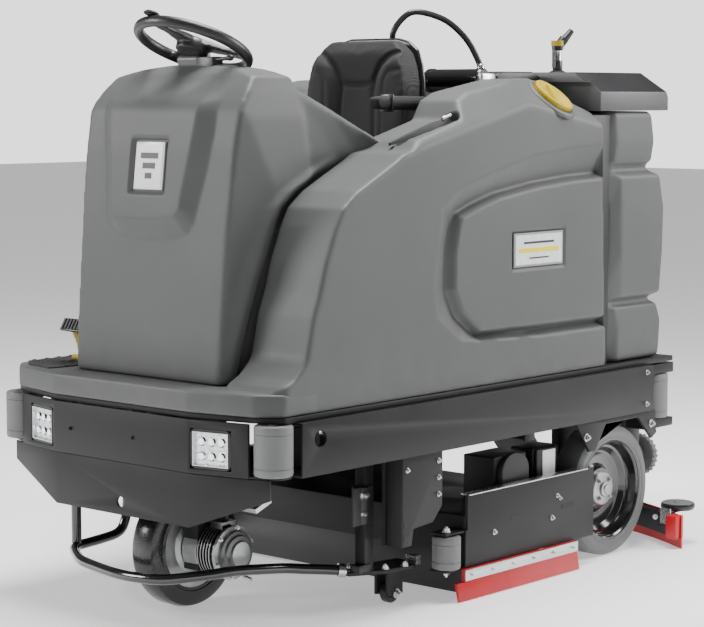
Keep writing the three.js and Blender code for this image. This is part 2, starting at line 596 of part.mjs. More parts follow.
// Side lips: a rubber blade held to the deck plate by a bright clamp strip, free to float upwards.
// Its front end is cut low, so that it floats up without meeting the deck's corner roller.
const STRIP_LOW = 54;
const LIP_HIGH = 84;
function sideLip(side) {
  const profile = [[517, LIP_HIGH], [523, LIP_HIGH], [537, 2], [530, 2], [517, 52]];
  const blade = prism(profile.map(([x, z]) => [side * x, z]), 'y', -222, 330);
  const strip = block(span(side, 523, 529), [-189, 329], [STRIP_LOW, LIP_HIGH]);
  const notch = block(span(side, 510, 545), [-223, -189], [STRIP_LOW - 4, LIP_HIGH + 1]);
  return joined(cut(blade, notch), strip);
}
pair('side_lip', sideLip, 'red_rubber');

function brush(y) {
  const core = drum(BRUSH_R - 14, 'x', -500, 500, [y, BRUSH_Z], 24);
  const bristle = drum(BRUSH_R, 'x', -488, 488, [y, BRUSH_Z], 32);
  return joined(core, bristle);
}
piece('brush_front', brush(BRUSH_Y.front), 'bristle');
piece('brush_rear', brush(BRUSH_Y.rear), 'bristle');

// Cover of the deck's lift actuator, bent from sheet and bolted to the beam.
const coverOutline = [
  [-416, 417], [-250, 417], [-250, 268], [-290, 226], [-370, 220], [-378, 176], [-418, 176]];
piece('actuator_cover', prism(coverOutline, 'x', 445, 500), 'frame');

// ---- Squeegee ------------------------------------------------------------------------------

// The blade's plan is a parabola that brings both ends forward.
function squeegeeArc(offset, half, steps) {
  const rise = 187 / (SQUEEGEE_HALF * SQUEEGEE_HALF);
  const points = [];
  for (let i = 0; i <= steps; i += 1) {
    const x = -half + 2 * half * i / steps;
    points.push([x, REAR - offset - rise * x * x]);
  }
  return points;
}
function squeegeeBand(front, rear, half, low, high) {
  const outline = [...squeegeeArc(rear, half, 16), ...squeegeeArc(front, half, 16).reverse()];
  return prism(outline.reverse(), 'z', low, high);
}
piece('squeegee_blade', squeegeeBand(7, 0, SQUEEGEE_HALF, 1, 100), 'red_rubber');
function rollerArm(side) {
  const post = block(span(side, 520, 560), [760, 784], [60, 102.6]);
  const plate = block(span(side, 520, 560), [760, 866], [100.4, 102.6]);
  return joined(post, plate);
}
piece('squeegee_bar', joined(
  squeegeeBand(34, 7.6, 590, 34, 96),
  prism([[678, 286], [684, 318], [716, 318], [870, 150], [926, 97], [926, 90], [860, 90], [700, 272]],
    'x', -68, 68),
  rollerArm(1), rollerArm(-1)), 'steel');
pair('squeegee_roller', (side) => drum(52, 'z', 103, 128, [side * 540, 838], 32), 'grey_rubber');

// ---- Cleaning set on the lid ---------------------------------------------------------------

const GUN_AXIS = [166, 711];
piece('spray_gun', joined(drum(15, 'z', 1424, 1508, GUN_AXIS, 16),
  drum(20, 'z', 1500, 1522, GUN_AXIS, 16),
  prism([[700, 1520], [722, 1520], [752, 1548], [744, 1556], [712, 1548]], 'x', 152, 196)), 'yellow');

const HOSE_R = 9;
const hoseRoute = [
  [-75, 262, 1428], [-72, 232, 1480], [-65, 206, 1534], [-40, 226, 1584], [-10, 259, 1600],
  [30, 336, 1576], [70, 384, 1521], [98, 404, 1460], [110, 402, 1433]];
piece('spray_hose', tube(hoseRoute, HOSE_R, 40, 8), 'black_rubber');

export default machine;
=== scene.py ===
import math

import bmesh
import bpy
import numpy as np
from mathutils import Matrix, Vector


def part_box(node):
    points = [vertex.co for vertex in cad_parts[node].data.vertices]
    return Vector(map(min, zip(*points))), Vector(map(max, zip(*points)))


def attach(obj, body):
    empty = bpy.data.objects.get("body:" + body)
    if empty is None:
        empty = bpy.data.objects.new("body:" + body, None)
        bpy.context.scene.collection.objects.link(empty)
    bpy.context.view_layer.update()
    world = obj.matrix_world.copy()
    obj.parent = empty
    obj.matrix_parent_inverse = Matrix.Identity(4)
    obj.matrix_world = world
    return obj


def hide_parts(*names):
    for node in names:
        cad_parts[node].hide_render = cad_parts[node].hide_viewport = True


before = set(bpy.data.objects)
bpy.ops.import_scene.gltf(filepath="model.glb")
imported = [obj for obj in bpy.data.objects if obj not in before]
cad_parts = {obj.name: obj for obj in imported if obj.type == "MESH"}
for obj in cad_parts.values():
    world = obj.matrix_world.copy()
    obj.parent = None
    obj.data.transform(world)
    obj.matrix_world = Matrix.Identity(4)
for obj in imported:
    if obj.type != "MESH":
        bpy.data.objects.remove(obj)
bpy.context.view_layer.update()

# ---- Camera ------------------------------------------------------------------------------
# Eye level a little below the steering wheel, from the front and the driver's left.
camera_data = bpy.data.cameras.new("camera")
camera_data.lens = 109.44
camera_data.sensor_width = 36
camera = bpy.data.objects.new("camera", camera_data)
camera.location = (4.0443, -4.6360, 1.3514)
camera.rotation_euler = (math.radians(84.2214), 0, math.radians(41.403))
bpy.context.scene.collection.objects.link(camera)
bpy.context.scene.camera = camera


# ---- Vacuum hose -------------------------------------------------------------------------
# Smooth black hose between two fittings on the cover behind the seat. It is pushed on at
# both ends, so it leaves and enters the machine and stands up in a stiff hoop of its own.
class Signal:
    """A shader socket that can be used in sums."""

    def __init__(self, finish, socket):
        self.finish, self.socket = finish, socket

    def maths(self, operation, first, second):
        return self.finish.node("ShaderNodeMath", {"operation": operation}, {0: first, 1: second})

    def __add__(self, other):
        return self.maths("ADD", self, other)

    def __radd__(self, other):
        return self.maths("ADD", other, self)

    def __sub__(self, other):
        return self.maths("SUBTRACT", self, other)

    def __mul__(self, other):
        return self.maths("MULTIPLY", self, other)

    def __rmul__(self, other):
        return self.maths("MULTIPLY", other, self)


class Finish:
    """A surface made of shader nodes on the piece's own coordinates."""

    def __init__(self, name, **constants):
        self.material = bpy.data.materials.new(name)
        self.material.use_nodes = True
        self.tree = self.material.node_tree
        self.shader = self.tree.nodes["Principled BSDF"]
        for socket, value in constants.items():
            self.shader.inputs[socket.replace("_", " ")].default_value = value
        self.place = self.node("ShaderNodeTexCoord", out="Object")

    def node(self, kind, settings=None, sockets=None, out=0):
        node = self.tree.nodes.new(kind)
        for key, value in (settings or {}).items():
            if key == "stops":
                ramp = node.color_ramp
                while len(ramp.elements) < len(value):
                    ramp.elements.new(0.5)
                for element, (position, colour) in zip(ramp.elements, value):
                    element.position, element.color = position, colour
            else:
                setattr(node, key, value)
        for key, value in (sockets or {}).items():
            if isinstance(value, Signal):
                self.tree.links.new(value.socket, node.inputs[key])
            else:
                node.inputs[key].default_value = value
        return Signal(self, node.outputs[out])

    def feed(self, socket, signal):
        self.tree.links.new(signal.socket, self.shader.inputs[socket])

    def blotch(self, scale, detail=3, stretch=(1, 1, 1)):
        place = self.node("ShaderNodeMapping", {}, {"Vector": self.place, "Scale": stretch})
        return self.node("ShaderNodeTexNoise", {}, {"Vector": place, "Scale": scale, "Detail": detail})

    def cells(self, scale):
        return self.node("ShaderNodeTexVoronoi", {}, {"Vector": self.place, "Scale": scale}, out="Distance")

    def height(self):
        return self.node("ShaderNodeSeparateXYZ", {}, {"Vector": self.place}, out="Z")

    def between(self, factor, *colours):
        first, second = (c if isinstance(c, Signal) else (*c, 1) for c in colours)
        return self.node("ShaderNodeMix", {"data_type": "RGBA"}, {"Factor": factor, 6: first, 7: second},
                         out=2)

    def range(self, value, low, high, to_low=0.0, to_high=1.0):
        return self.node("ShaderNodeMapRange", {}, {"Value": value, "From Min": low, "From Max": high,
                                                    "To Min": to_low, "To Max": to_high})

    def dressed(self, colour, roughness, height, depth, strength=1.0):
        """Feeds in colour, roughness and relief, and gives the material."""
        self.feed("Base Color", colour)
        self.feed("Roughness", roughness)
        self.feed("Normal", self.node("ShaderNodeBump", {}, {"Height": height, "Distance": depth,
                                                             "Strength": strength}))
        return self.material


def surfaced(name, dark, light, roughness, grain, depth, spread=0.1, metallic=0.0, coat=0.0):
    """An even made surface: slow change of tone, uneven gloss and a fine grain that stands up."""
    finish = Finish(name, Metallic=metallic, Coat_Weight=coat, Coat_Roughness=0.15)
    slow, fine = finish.blotch(4.0, 4), finish.blotch(grain, 2)
    return finish.dressed(finish.between(finish.range(slow + 0.35 * fine, 0.4, 0.95), dark, light),
                          roughness + spread * (slow + fine - 1.0), fine, depth)


def through(points, steps):
    """Points on the smooth curve through the given points, a few to each span."""
    given = [Vector(p) for p in points]
    ends = [2 * given[0] - given[1], *given, 2 * given[-1] - given[-2]]
    made = []
    for a, b, c, d in zip(ends, ends[1:], ends[2:], ends[3:]):
        for i in range(steps):
            t = i / steps
            made.append(0.5 * (2 * b + (c - a) * t + (2 * a - 5 * b + 4 * c - d) * t ** 2
                               + (3 * b - a - 3 * c + d) * t ** 3))
    return [*made, given[-1]]


def curved(name, points, radius, sides=4):
    """A round tube as a curve of one open spline."""
    curve = bpy.data.curves.new(name, "CURVE")
    curve.dimensions = "3D"
    curve.bevel_depth = radius
    curve.bevel_resolution = sides
    curve.use_fill_caps = True
    spline = curve.splines.new("BEZIER")
    spline.bezier_points.add(len(points) - 1)
    for handle, point in zip(spline.bezier_points, points):
        handle.co = point
        handle.handle_left_type = handle.handle_right_type = "AUTO"
    return curve


def placed(name, data, finish, body, stands_for=()):
    """Puts a finished mesh or curve on its body."""
    obj = bpy.data.objects.new(name, data)
    for material in finish if isinstance(finish, (list, tuple)) else [finish]:
        data.materials.append(material)
    bpy.context.scene.collection.objects.link(obj)
    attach(obj, body)
    if stands_for:
        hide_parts(*stands_for)
    return obj


HOSE_R = 0.009
hose_route = [(-0.075, 0.262, 1.428), (-0.072, 0.232, 1.480), (-0.065, 0.206, 1.534), (-0.040, 0.226, 1.584),
              (-0.010, 0.259, 1.600), (0.030, 0.336, 1.576), (0.070, 0.384, 1.521), (0.098, 0.404, 1.460),
              (0.110, 0.402, 1.433)]
hose_rubber = surfaced("hose_rubber", (0.008, 0.008, 0.009), (0.022, 0.022, 0.023), 0.32, 500, 0.0002)
hose_points = through(hose_route, 3)
hose = placed("vacuum_hose", curved("vacuum_hose", hose_points, HOSE_R, 6), hose_rubber, "chassis",
              ["spray_hose"])

# ---- Floor and light ---------------------------------------------------------------------
# A pale studio floor, one large soft light over the front left corner, one over the rear
# left and a wide one overhead, so that surfaces facing up, forwards and back read apart.
floor_bm = bmesh.new()
bmesh.ops.create_grid(floor_bm, x_segments=1, y_segments=1, size=30)
floor_mesh = bpy.data.meshes.new("floor")
floor_bm.to_mesh(floor_mesh)
floor_bm.free()
floor = bpy.data.objects.new("floor", floor_mesh)
floor_paint = surfaced("floor_paint", (0.84, 0.84, 0.84), (0.90, 0.90, 0.90), 0.6, 90, 0.0002)
floor_shader = floor_paint.node_tree.nodes["Principled BSDF"]
floor_shader.inputs["Emission Color"].default_value = (1, 1, 1, 1)
floor_shader.inputs["Emission Strength"].default_value = 0.5
floor_mesh.materials.append(floor_paint)
bpy.context.scene.collection.objects.link(floor)

# The room: dim above, with a bright backdrop that stands a little over the horizon.
world = bpy.data.worlds.new("studio")
world.use_nodes = True
room = world.node_tree
direction = room.nodes.new("ShaderNodeTexCoord")
split = room.nodes.new("ShaderNodeSeparateXYZ")
height = room.nodes.new("ShaderNodeMapRange")
room.links.new(direction.outputs["Generated"], split.inputs[0])
room.links.new(split.outputs["Z"], height.inputs["Value"])
for socket, value in {"From Min": 0.05, "From Max": 0.12, "To Min": 2.0, "To Max": 0.11}.items():
    height.inputs[socket].default_value = value
room.nodes["Background"].inputs["Color"].default_value = (1, 1, 1, 1)
room.links.new(height.outputs["Result"], room.nodes["Background"].inputs["Strength"])
bpy.context.scene.world = world


def soft_light(name, place, size, power):
    light = bpy.data.lights.new(name, "AREA")
    light.shape = "DISK"
    light.size = size
    light.energy = power
    obj = bpy.data.objects.new(name, light)
    obj.location = place
    obj.rotation_euler = (Vector((0, 0, 0.8)) - Vector(place)).to_track_quat("-Z", "Y").to_euler()
    bpy.context.scene.collection.objects.link(obj)


soft_light("light_front", (-4.0, -4.8, 3.2), 2.4, 300)
soft_light("light_rear", (2.2, 2.4, 2.4), 1.8, 110)
soft_light("light_top", (0.3, 0.2, 4.6), 2.6, 420)

# ---- Chassis -----------------------------------------------------------------------------
# The machine stands on beams, a bumper, an apron and brackets, all cut and folded from plate,
# welded and powder-coated black. Their corners are rounded by the folding and the coating.
def merged(node):
    """The mesh of a CAD node as one closed shell."""
    bm = bmesh.new()
    bm.from_mesh(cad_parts[node].data)
    bmesh.ops.remove_doubles(bm, verts=bm.verts, dist=2e-5)
    bmesh.ops.dissolve_limit(bm, angle_limit=math.radians(2), verts=bm.verts, edges=bm.edges)
    return bm


def rounded(bm, width, segments=2, over=28):
    """Bevels every edge that turns more than the given angle."""
    sharp = [e for e in bm.edges if len(e.link_faces) == 2 and e.calc_face_angle(0) > math.radians(over)]
    bmesh.ops.bevel(bm, geom=sharp, offset=width, offset_type="OFFSET", segments=segments, profile=0.5,
                    affect="EDGES", clamp_overlap=True, material=-1)
    return bm


def piece(name, bm, finish, body, stands_for=(), crease=35):
    mesh = bpy.data.meshes.new(name)
    bm.to_mesh(mesh)
    bm.free()
    mesh.shade_smooth()
    mesh.set_sharp_from_angle(angle=math.radians(crease))
    return placed(name, mesh, finish, body, stands_for)


def powder_coat():
    """Black powder coat: a fine orange peel, rubbed brighter in patches, dusty low down."""
    finish = Finish("powder_coat", Specular_IOR_Level=0.3)
    peel, rub = finish.blotch(620, 2), finish.blotch(7, 5)
    dust = finish.range(finish.height(), 0.32, 0.0) * finish.range(rub, 0.4, 0.75)
    tone = finish.between(finish.range(rub, 0.35, 0.8), (0.0095, 0.0095, 0.010), (0.0155, 0.0155, 0.016))
    return finish.dressed(finish.between(0.35 * dust, tone, (0.05, 0.049, 0.047)),
                          0.36 + 0.22 * rub + 0.15 * dust, peel, 0.00035, 0.8)


powder_black = powder_coat()
bright_zinc = surfaced("bright_zinc", (0.46, 0.47, 0.48), (0.66, 0.67, 0.68), 0.27, 260, 0.0001, 0.15,
                       metallic=1.0)

for node, width in {"side_beam_left": 0.003, "side_beam_right": 0.003, "front_bumper": 0.002,
                    "lower_fascia": 0.002, "chassis_floor": 0.002, "rear_crossmember": 0.002,
                    "axle_bracket_left": 0.0025, "axle_bracket_right": 0.0025}.items():
    piece("plate_" + node, rounded(merged(node), width), powder_black, "chassis", [node])


def moved(bm, verts, *matrices):
    """Applies the matrices to the vertices, last one first."""
    whole = Matrix.Identity(4)
    for matrix in matrices:
        whole = whole @ matrix
    bmesh.ops.transform(bm, matrix=whole, verts=verts)


def pointing(place, axis):
    """Moves a shape made round Z to a place, with Z turned to the given axis."""
    return Matrix.Translation(place) @ Vector(axis).to_track_quat("Z", "Y").to_matrix().to_4x4()


def rod(bm, where, radius, depth, tip=None, segments=32, caps=True):
    """A round rod, or a cone if its tip has a radius of its own, made round Z and moved by a matrix."""
    made = bmesh.ops.create_cone(bm, cap_ends=caps, segments=segments, radius1=radius, radius2=tip or radius,
                                 depth=depth)
    moved(bm, made["verts"], where)


def ball(bm, place, radius, around=24, along=16, squash=(1, 1, 1)):
    """A ball, or an egg if it is squashed."""
    made = bmesh.ops.create_uvsphere(bm, u_segments=around, v_segments=along, radius=radius)
    moved(bm, made["verts"], Matrix.Translation(place), Matrix.Diagonal((*squash, 1)))


def bolt(bm, place, axis, radius=0.008):
    """A hexagon bolt: its washer, head and stud, in shares of the head's radius."""
    for segments, foot, tip, depth, lift in ((20, 1.35, 1.3, 0.3, 0.15), (6, 1, 0.9, 0.8, 0.7),
                                             (12, 0.55, 0.45, 0.7, 1.3)):
        where = pointing(place, axis) @ Matrix.Translation((0, 0, radius * lift))
        rod(bm, where, radius * foot, radius * depth, radius * tip, segments)


def bolts_round(bm, centre, side, spread, count, first, radius):
    """Bolts in a circle round an axle, with the first at the given angle."""
    for i in range(count):
        angle = first + 2 * math.pi * i / count
        place = Vector(centre) + spread * Vector((0, math.cos(angle), math.sin(angle)))
        bolt(bm, place, (side, 0, 0), radius)


def bar(bm, x, y, z):
    """A rectangular block between the given spans."""
    verts = bmesh.ops.create_cube(bm, size=1)["verts"]
    centre = [(a + b) / 2 for a, b in (x, y, z)]
    moved(bm, verts, Matrix.Translation(centre), Matrix.Diagonal([b - a for a, b in (x, y, z)]).to_4x4())
    return verts


def slab(bm, outline, axis, low, high):
    """A flat plate: an outline on the plane across an axis, pushed along that axis."""
    order = {"x": lambda u, v, w: (w, u, v), "y": lambda u, v, w: (u, w, v), "z": lambda u, v,
             w: (u, v, w)}[axis]
    rim = [bm.verts.new(order(u, v, low)) for u, v in outline]
    face = bm.faces.new(rim)
    far = bmesh.ops.extrude_face_region(bm, geom=[face])
    verts = [v for v in far["geom"] if isinstance(v, bmesh.types.BMVert)]
    bmesh.ops.translate(bm, verts=verts, vec=order(0, 0, high - low))
    bmesh.ops.recalc_face_normals(bm, faces=list({f for v in verts + rim for f in v.link_faces}))
    return rim + verts


def blocks(width, segments, *spans):
    """Rectangular blocks with rounded edges, in a mesh of their own."""
    bm = bmesh.new()
    for span in spans:
        bar(bm, *span)
    return rounded(bm, width, segments)


def joined(bm, other):
    """Adds another shape's faces to a mesh."""
    mesh = bpy.data.meshes.new("work")
    other.to_mesh(mesh)
    other.free()
    bm.from_mesh(mesh)


def mirrored(bm, side):
    """Turns a shape made for the left side into the right one's, if that is the side."""
    if side < 0:
        moved(bm, bm.verts[:], Matrix.Diagonal((-1, 1, 1, 1)))
        bmesh.ops.recalc_face_normals(bm, faces=bm.faces)


def tinted(bm, material, make, *values):
    """Adds a shape to a mesh in one of the piece's materials."""
    start = len(bm.faces)
    make(bm, *values)
    bm.faces.ensure_lookup_table()
    for face in bm.faces[start:]:
        face.material_index = material


# Fasteners of the chassis: zinc-plated hexagon bolts through the plates.
SIDES = ((1, "left"), (-1, "right"))


def both(half):
    """An outline from its left half: the right half follows it back."""
    return half + [(-across, along) for across, along in reversed(half)]


BEAM_FACE, BRACKET_FACE = 0.520, 0.506
bolts = bmesh.new()
for side in (1, -1):
    for y, z in ((0.69, 0.535), (0.69, 0.44)):
        bolt(bolts, (side * BEAM_FACE, y, z), (side, 0, 0), 0.006)
    for y, z in ((0.40, 0.372), (0.735, 0.375)):
        bolt(bolts, (side * BRACKET_FACE, y, z), (side, 0, 0), 0.009)
    for z, up in ((0.549, 1), (0.353, -1)):
        bolt(bolts, (side * 0.454, 0.816, z), (0, 0, up), 0.012)
piece("chassis_bolts", bolts, bright_zinc, "chassis")

# Two black screws in the middle of the bumper, and the liner of the round port at each end.
screws = bmesh.new()
for x in (-0.187, 0.052):
    bolt(screws, (x, -0.9545, 0.486), (0, -1, 0), 0.0045)
for side in (1, -1):
    rod(screws, pointing((side * 0.515, -0.755, 0.509), (side, 0, 0)), 0.0205, 0.012, caps=False)
piece("bumper_screws", screws, powder_black, "chassis")

# ---- Headlights --------------------------------------------------------------------------
# A rounded black frame in the bumper, a chromed reflector with six small lamps in two rows
# and a clear cover moulded over them.
LAMP_PLACE = Vector((0.317, -0.938, 0.482))
LAMP_TURN = math.atan2(43, 201)
LAMP_W, LAMP_H = 0.119, 0.100


def lamp_metal():
    finish = Finish("lamp_reflector", Metallic=0.85)
    facets = finish.cells(130.0)
    return finish.dressed(finish.between(facets, (0.92, 0.93, 0.95), (0.70, 0.72, 0.75)), 0.16 + 0.2 * facets,
                          facets, 0.0008)


def lamp_glow():
    finish = Finish("lamp_diode", Emission_Strength=0.9, Roughness=0.3)
    spot = finish.blotch(300, 2)
    finish.feed("Base Color", finish.between(spot, (0.9, 0.91, 0.93), (1.0, 1.0, 1.0)))
    finish.feed("Emission Color", finish.between(spot, (0.86, 0.90, 1.0), (1.0, 1.0, 1.0)))
    return finish.material


frame_black = surfaced("lamp_frame_plastic", (0.010, 0.010, 0.011), (0.020, 0.020, 0.021), 0.38, 700, 0.0002)
lamp_finishes = [frame_black, lamp_metal(), lamp_glow(), surfaced("lamp_bezel", (0.62, 0.64, 0.66),
                                                                  (0.80, 0.81, 0.83), 0.2, 500, 0.0001,
                                                                  metallic=0.6)]


def lamp(side, name):
    bm = bmesh.new()
    bar(bm, (-LAMP_W / 2, LAMP_W / 2), (-0.001, 0.034), (-LAMP_H / 2, LAMP_H / 2))
    front = [f for f in bm.faces if f.normal.y < -0.9]
    for thickness, depth, material in ((0.008, 0.0, 0), (0.002, -0.002, 3), (0.003, 0.0, 3),
                                       (0.001, 0.009, 1)):
        bmesh.ops.inset_individual(bm, faces=front, thickness=thickness, depth=0)
        bmesh.ops.translate(bm, verts=list({v for f in front for v in f.verts}), vec=(0, depth, 0))
        for face in front:
            face.material_index = material
    for row in (-1, 1):
        for column in (-1, 0, 1):
            cup = pointing((column * 0.029, 0.004, row * 0.0185), (0, -1, 0))
            tinted(bm, 1, rod, cup, 0.0125, 0.005, 0.0085, 20)
    for face in bm.faces:
        if len(face.verts) > 4:
            face.material_index = 2
    corners = [e for e in bm.edges if abs((e.verts[0].co - e.verts[1].co).y) > 0.02]
    bmesh.ops.bevel(bm, geom=corners, offset=0.016, segments=5, profile=0.5, affect="EDGES", material=-1,
                    clamp_overlap=True)
    moved(bm, bm.verts[:], Matrix.Translation((side * LAMP_PLACE.x, *LAMP_PLACE.yz)),
          Matrix.Rotation(side * LAMP_TURN, 4, "Z"))
    piece("lamp_headlight_" + name, bm, lamp_finishes, "chassis", ["headlight_" + name], 30)


for side, name in SIDES:
    lamp(side, name)

# ---- Corner rollers ----------------------------------------------------------------------
# Grey rubber rollers on vertical pins at the four corners of the frame, with a moulding line
# near each end and a rounded shoulder. They turn when the machine rubs along a wall.
pale_rubber = surfaced("roller_rubber", (0.120, 0.122, 0.125), (0.165, 0.167, 0.170), 0.5, 420, 0.0003, 0.14)
grey_rubber = surfaced("wheel_rubber", (0.100, 0.102, 0.104), (0.150, 0.152, 0.154), 0.55, 380, 0.0004, 0.14)


def turned(profile, place, axis, segments=64):
    """A solid of revolution: profile points are radius and height on the axis."""
    bm = bmesh.new()
    verts = [bm.verts.new((r, 0, h)) for r, h in profile]
    edges = [bm.edges.new(pair) for pair in zip(verts, verts[1:])]
    bmesh.ops.spin(bm, geom=verts + edges, cent=(0, 0, 0), axis=(0, 0, 1), angle=2 * math.pi, steps=segments,
                   use_merge=True)
    bmesh.ops.remove_doubles(bm, verts=bm.verts, dist=1e-6)
    bmesh.ops.recalc_face_normals(bm, faces=bm.faces)
    moved(bm, bm.verts[:], pointing(place, axis))
    return bm


def roller_profile(radius, height):
    """Barrel with a raised band between two fine lines and a pin at each end."""
    half, soft, line = height / 2, 0.006, 0.0012
    side = [(0.0, half + 0.001), (0.012, half + 0.001), (0.012, half - 0.002), (radius - soft, half),
            (radius - soft * 0.3, half - soft * 0.3), (radius, half - soft), (radius, half - 0.020),
            (radius - line, half - 0.0208), (radius, half - 0.022)]
    return side + [(r, -h) for r, h in reversed(side)]


for corner, radius in {"front": 0.049, "rear": 0.049, "deck": 0.039}.items():
    for side, name in SIDES:
        name = f"{corner}_roller_{name}"
        low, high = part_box(name)
        bm = turned(roller_profile(radius, high.z - low.z - 0.001), (low + high) / 2, (0, 0, 1))
        piece("barrel_" + name, bm, pale_rubber, name, [name])

# ---- Step platform -----------------------------------------------------------------------
# The lowest moulding: a grey skirt with a flat middle and two swept corners, which is also
# the floor that the driver steps on. A ribbed black rubber mat lies where the foot lands.
def moulded_grey():
    """Through-coloured grey polyethylene with the fine, slightly leathery skin of the mould."""
    finish = Finish("moulded_grey", Specular_IOR_Level=0.35)
    cloud, patch, skin = finish.blotch(2.3, 4), finish.blotch(14, 4), finish.blotch(520, 3)
    scuff = finish.blotch(60, 5, (1, 1, 0.12))
    dust = finish.range(finish.height(), 0.75, 0.56) * finish.range(patch, 0.45, 0.8)
    tone = finish.between(finish.range(cloud + 0.3 * patch, 0.35, 0.95),
                          (0.078, 0.0795, 0.080), (0.100, 0.1015, 0.102))
    worn = finish.between(0.3 * dust + 0.12 * finish.range(scuff, 0.66, 0.74), tone, (0.15, 0.147, 0.142))
    return finish.dressed(worn, 0.40 + 0.10 * patch + 0.12 * skin + 0.1 * dust, skin + 0.6 * patch, 0.00045,
                          0.7)


body_grey = moulded_grey()
STEP_LOW, STEP_HIGH = 0.5702, 0.627
step = bmesh.new()
slab(step, [(-0.500, -0.270), (-0.500, -0.862), (-0.440, -0.914), (-0.250, -0.955), (0.250, -0.955),
            (0.440, -0.914), (0.500, -0.862), (0.500, -0.740), (-0.300, -0.740), (-0.300, -0.270)][::-1],
     "z", STEP_LOW, STEP_HIGH)
slab(step, [(-0.31, -0.75), (0.31, -0.75), (0.31, -0.27), (-0.31, -0.27)], "z", STEP_LOW, STEP_HIGH - 0.001)
piece("step_skirt", rounded(step, 0.009, 4, 12), body_grey, "chassis", ["step_platform"], 20)


def mat_rubber():
    finish = Finish("mat_rubber")
    grain, worn = finish.blotch(260, 3), finish.blotch(9, 4)
    tone = finish.between(finish.range(worn, 0.4, 0.75), (0.012, 0.012, 0.012), (0.040, 0.039, 0.037))
    return finish.dressed(tone, 0.5 + 0.3 * grain, grain, 0.0005)


mat = bmesh.new()
slab(mat, [(-0.488, -0.300), (-0.488, -0.842), (-0.436, -0.885), (-0.330, -0.905), (-0.318, -0.860),
           (-0.318, -0.300)], "z", STEP_HIGH - 0.001, STEP_HIGH + 0.0035)
rounded(mat, 0.0012, 2)
stud_y, row_gap = -0.850, 0.022
while stud_y < -0.31:
    offset = 0.012 if round(stud_y / row_gap) % 2 else 0.0
    for column in range(7):
        place = (-0.478 + offset + column * 0.0235, stud_y, STEP_HIGH + 0.005)
        rod(mat, Matrix.Translation(place), 0.0075, 0.003, 0.005, 8)
    stud_y += row_gap
piece("step_mat", mat, mat_rubber(), "chassis")


# ---- Nose --------------------------------------------------------------------------------
# Rotationally moulded column cover: a tall rounded shell with a raised panel on its face, a
# domed top round the steering column, and a wing that runs back as the cockpit's left edge.
def temporary(bm):
    mesh = bpy.data.meshes.new("work")
    bm.to_mesh(mesh)
    bm.free()
    obj = bpy.data.objects.new("work", mesh)
    bpy.context.scene.collection.objects.link(obj)
    return obj


def evaluated(obj):
    bm = bmesh.new()
    bm.from_object(obj, bpy.context.evaluated_depsgraph_get())
    return bm


def common(first, *others):
    """What closed shapes have in common."""
    obj = temporary(first)
    cutters = [temporary(other) for other in others]
    for cutter in cutters:
        modifier = obj.modifiers.new("common", "BOOLEAN")
        modifier.operation, modifier.solver, modifier.object = "INTERSECT", "EXACT", cutter
    bm = evaluated(obj)
    for spare in (obj, *cutters):
        bpy.data.objects.remove(spare)
    return bm


def fused(bm, voxel, rounds):
    """Melts overlapping closed shapes into one skin with the soft edges that moulding leaves."""
    obj = temporary(bm)
    modifier = obj.modifiers.new("skin", "REMESH")
    modifier.mode, modifier.voxel_size = "VOXEL", voxel
    skin = evaluated(obj)
    bpy.data.objects.remove(obj)
    return smoothed(skin, rounds)


def smoothed(bm, rounds=1):
    for _ in range(rounds):
        bmesh.ops.smooth_vert(bm, verts=bm.verts, factor=0.5, use_axis_x=True, use_axis_y=True,
                              use_axis_z=True)
    return bm


def apart(points, a, b):
    """How far each point lies from the line between two others."""
    a, b = np.array(a), np.array(b)
    along = np.clip((points - a) @ (b - a) / ((b - a) @ (b - a)), 0, 1)
    return np.linalg.norm(points - a - along[:, None] * (b - a), axis=1)


def into(points, outline):
    """How far each point of a plane lies inside an outline, in metres; negative outside it."""
    corners = np.array(outline, float)
    nearest = np.full(len(points), 1e9)
    odd = np.zeros(len(points), bool)
    for a, b in zip(corners, np.roll(corners, -1, axis=0)):
        nearest = np.minimum(nearest, apart(points, a, b))
        crosses = (a[1] > points[:, 1]) != (b[1] > points[:, 1])
        rise = b[1] - a[1] if b[1] != a[1] else 1e-9
        odd ^= crosses & (points[:, 0] < a[0] + (points[:, 1] - a[1]) * (b[0] - a[0]) / rise)
    return np.where(odd, nearest, -nearest)


def ramp(value, low, high):
    """0 below low, 1 above high, eased between."""
    t = np.clip((value - low) / (high - low), 0, 1)
    return t * t * (3 - 2 * t)


def moves(x, y, z):
    """An array of vectors from arrays of their parts, or single numbers."""
    return np.stack(np.broadcast_arrays(x, y, z), axis=1)


def pressed(bm, amount):
    """Moves each vertex by amount(places, normals), an array of vectors."""
    bm.normal_update()
    places = np.array([v.co[:] for v in bm.verts])
    normals = np.array([v.normal[:] for v in bm.verts])
    for vert, move in zip(bm.verts, amount(places, normals)):
        vert.co += Vector(move)
    bm.normal_update()
    return bm


def lofted(bm, rings):
    """Joins rings of equally many points into a closed solid."""
    loops = []
    for ring in rings:
        verts = [bm.verts.new(p) for p in ring]
        loops.append(verts)
        for pair in zip(verts, verts[1:] + verts[:1]):
            bm.edges.new(pair)
    for a, b in zip(loops, loops[1:]):
        edges = [bm.edges.get(pair) for loop in (a, b) for pair in zip(loop, loop[1:] + loop[:1])]
        bmesh.ops.bridge_loops(bm, edges=edges)
    bm.faces.new(loops[0])
    bm.faces.new(loops[-1])
    bmesh.ops.recalc_face_normals(bm, faces=list({f for loop in loops for v in loop for f in v.link_faces}))


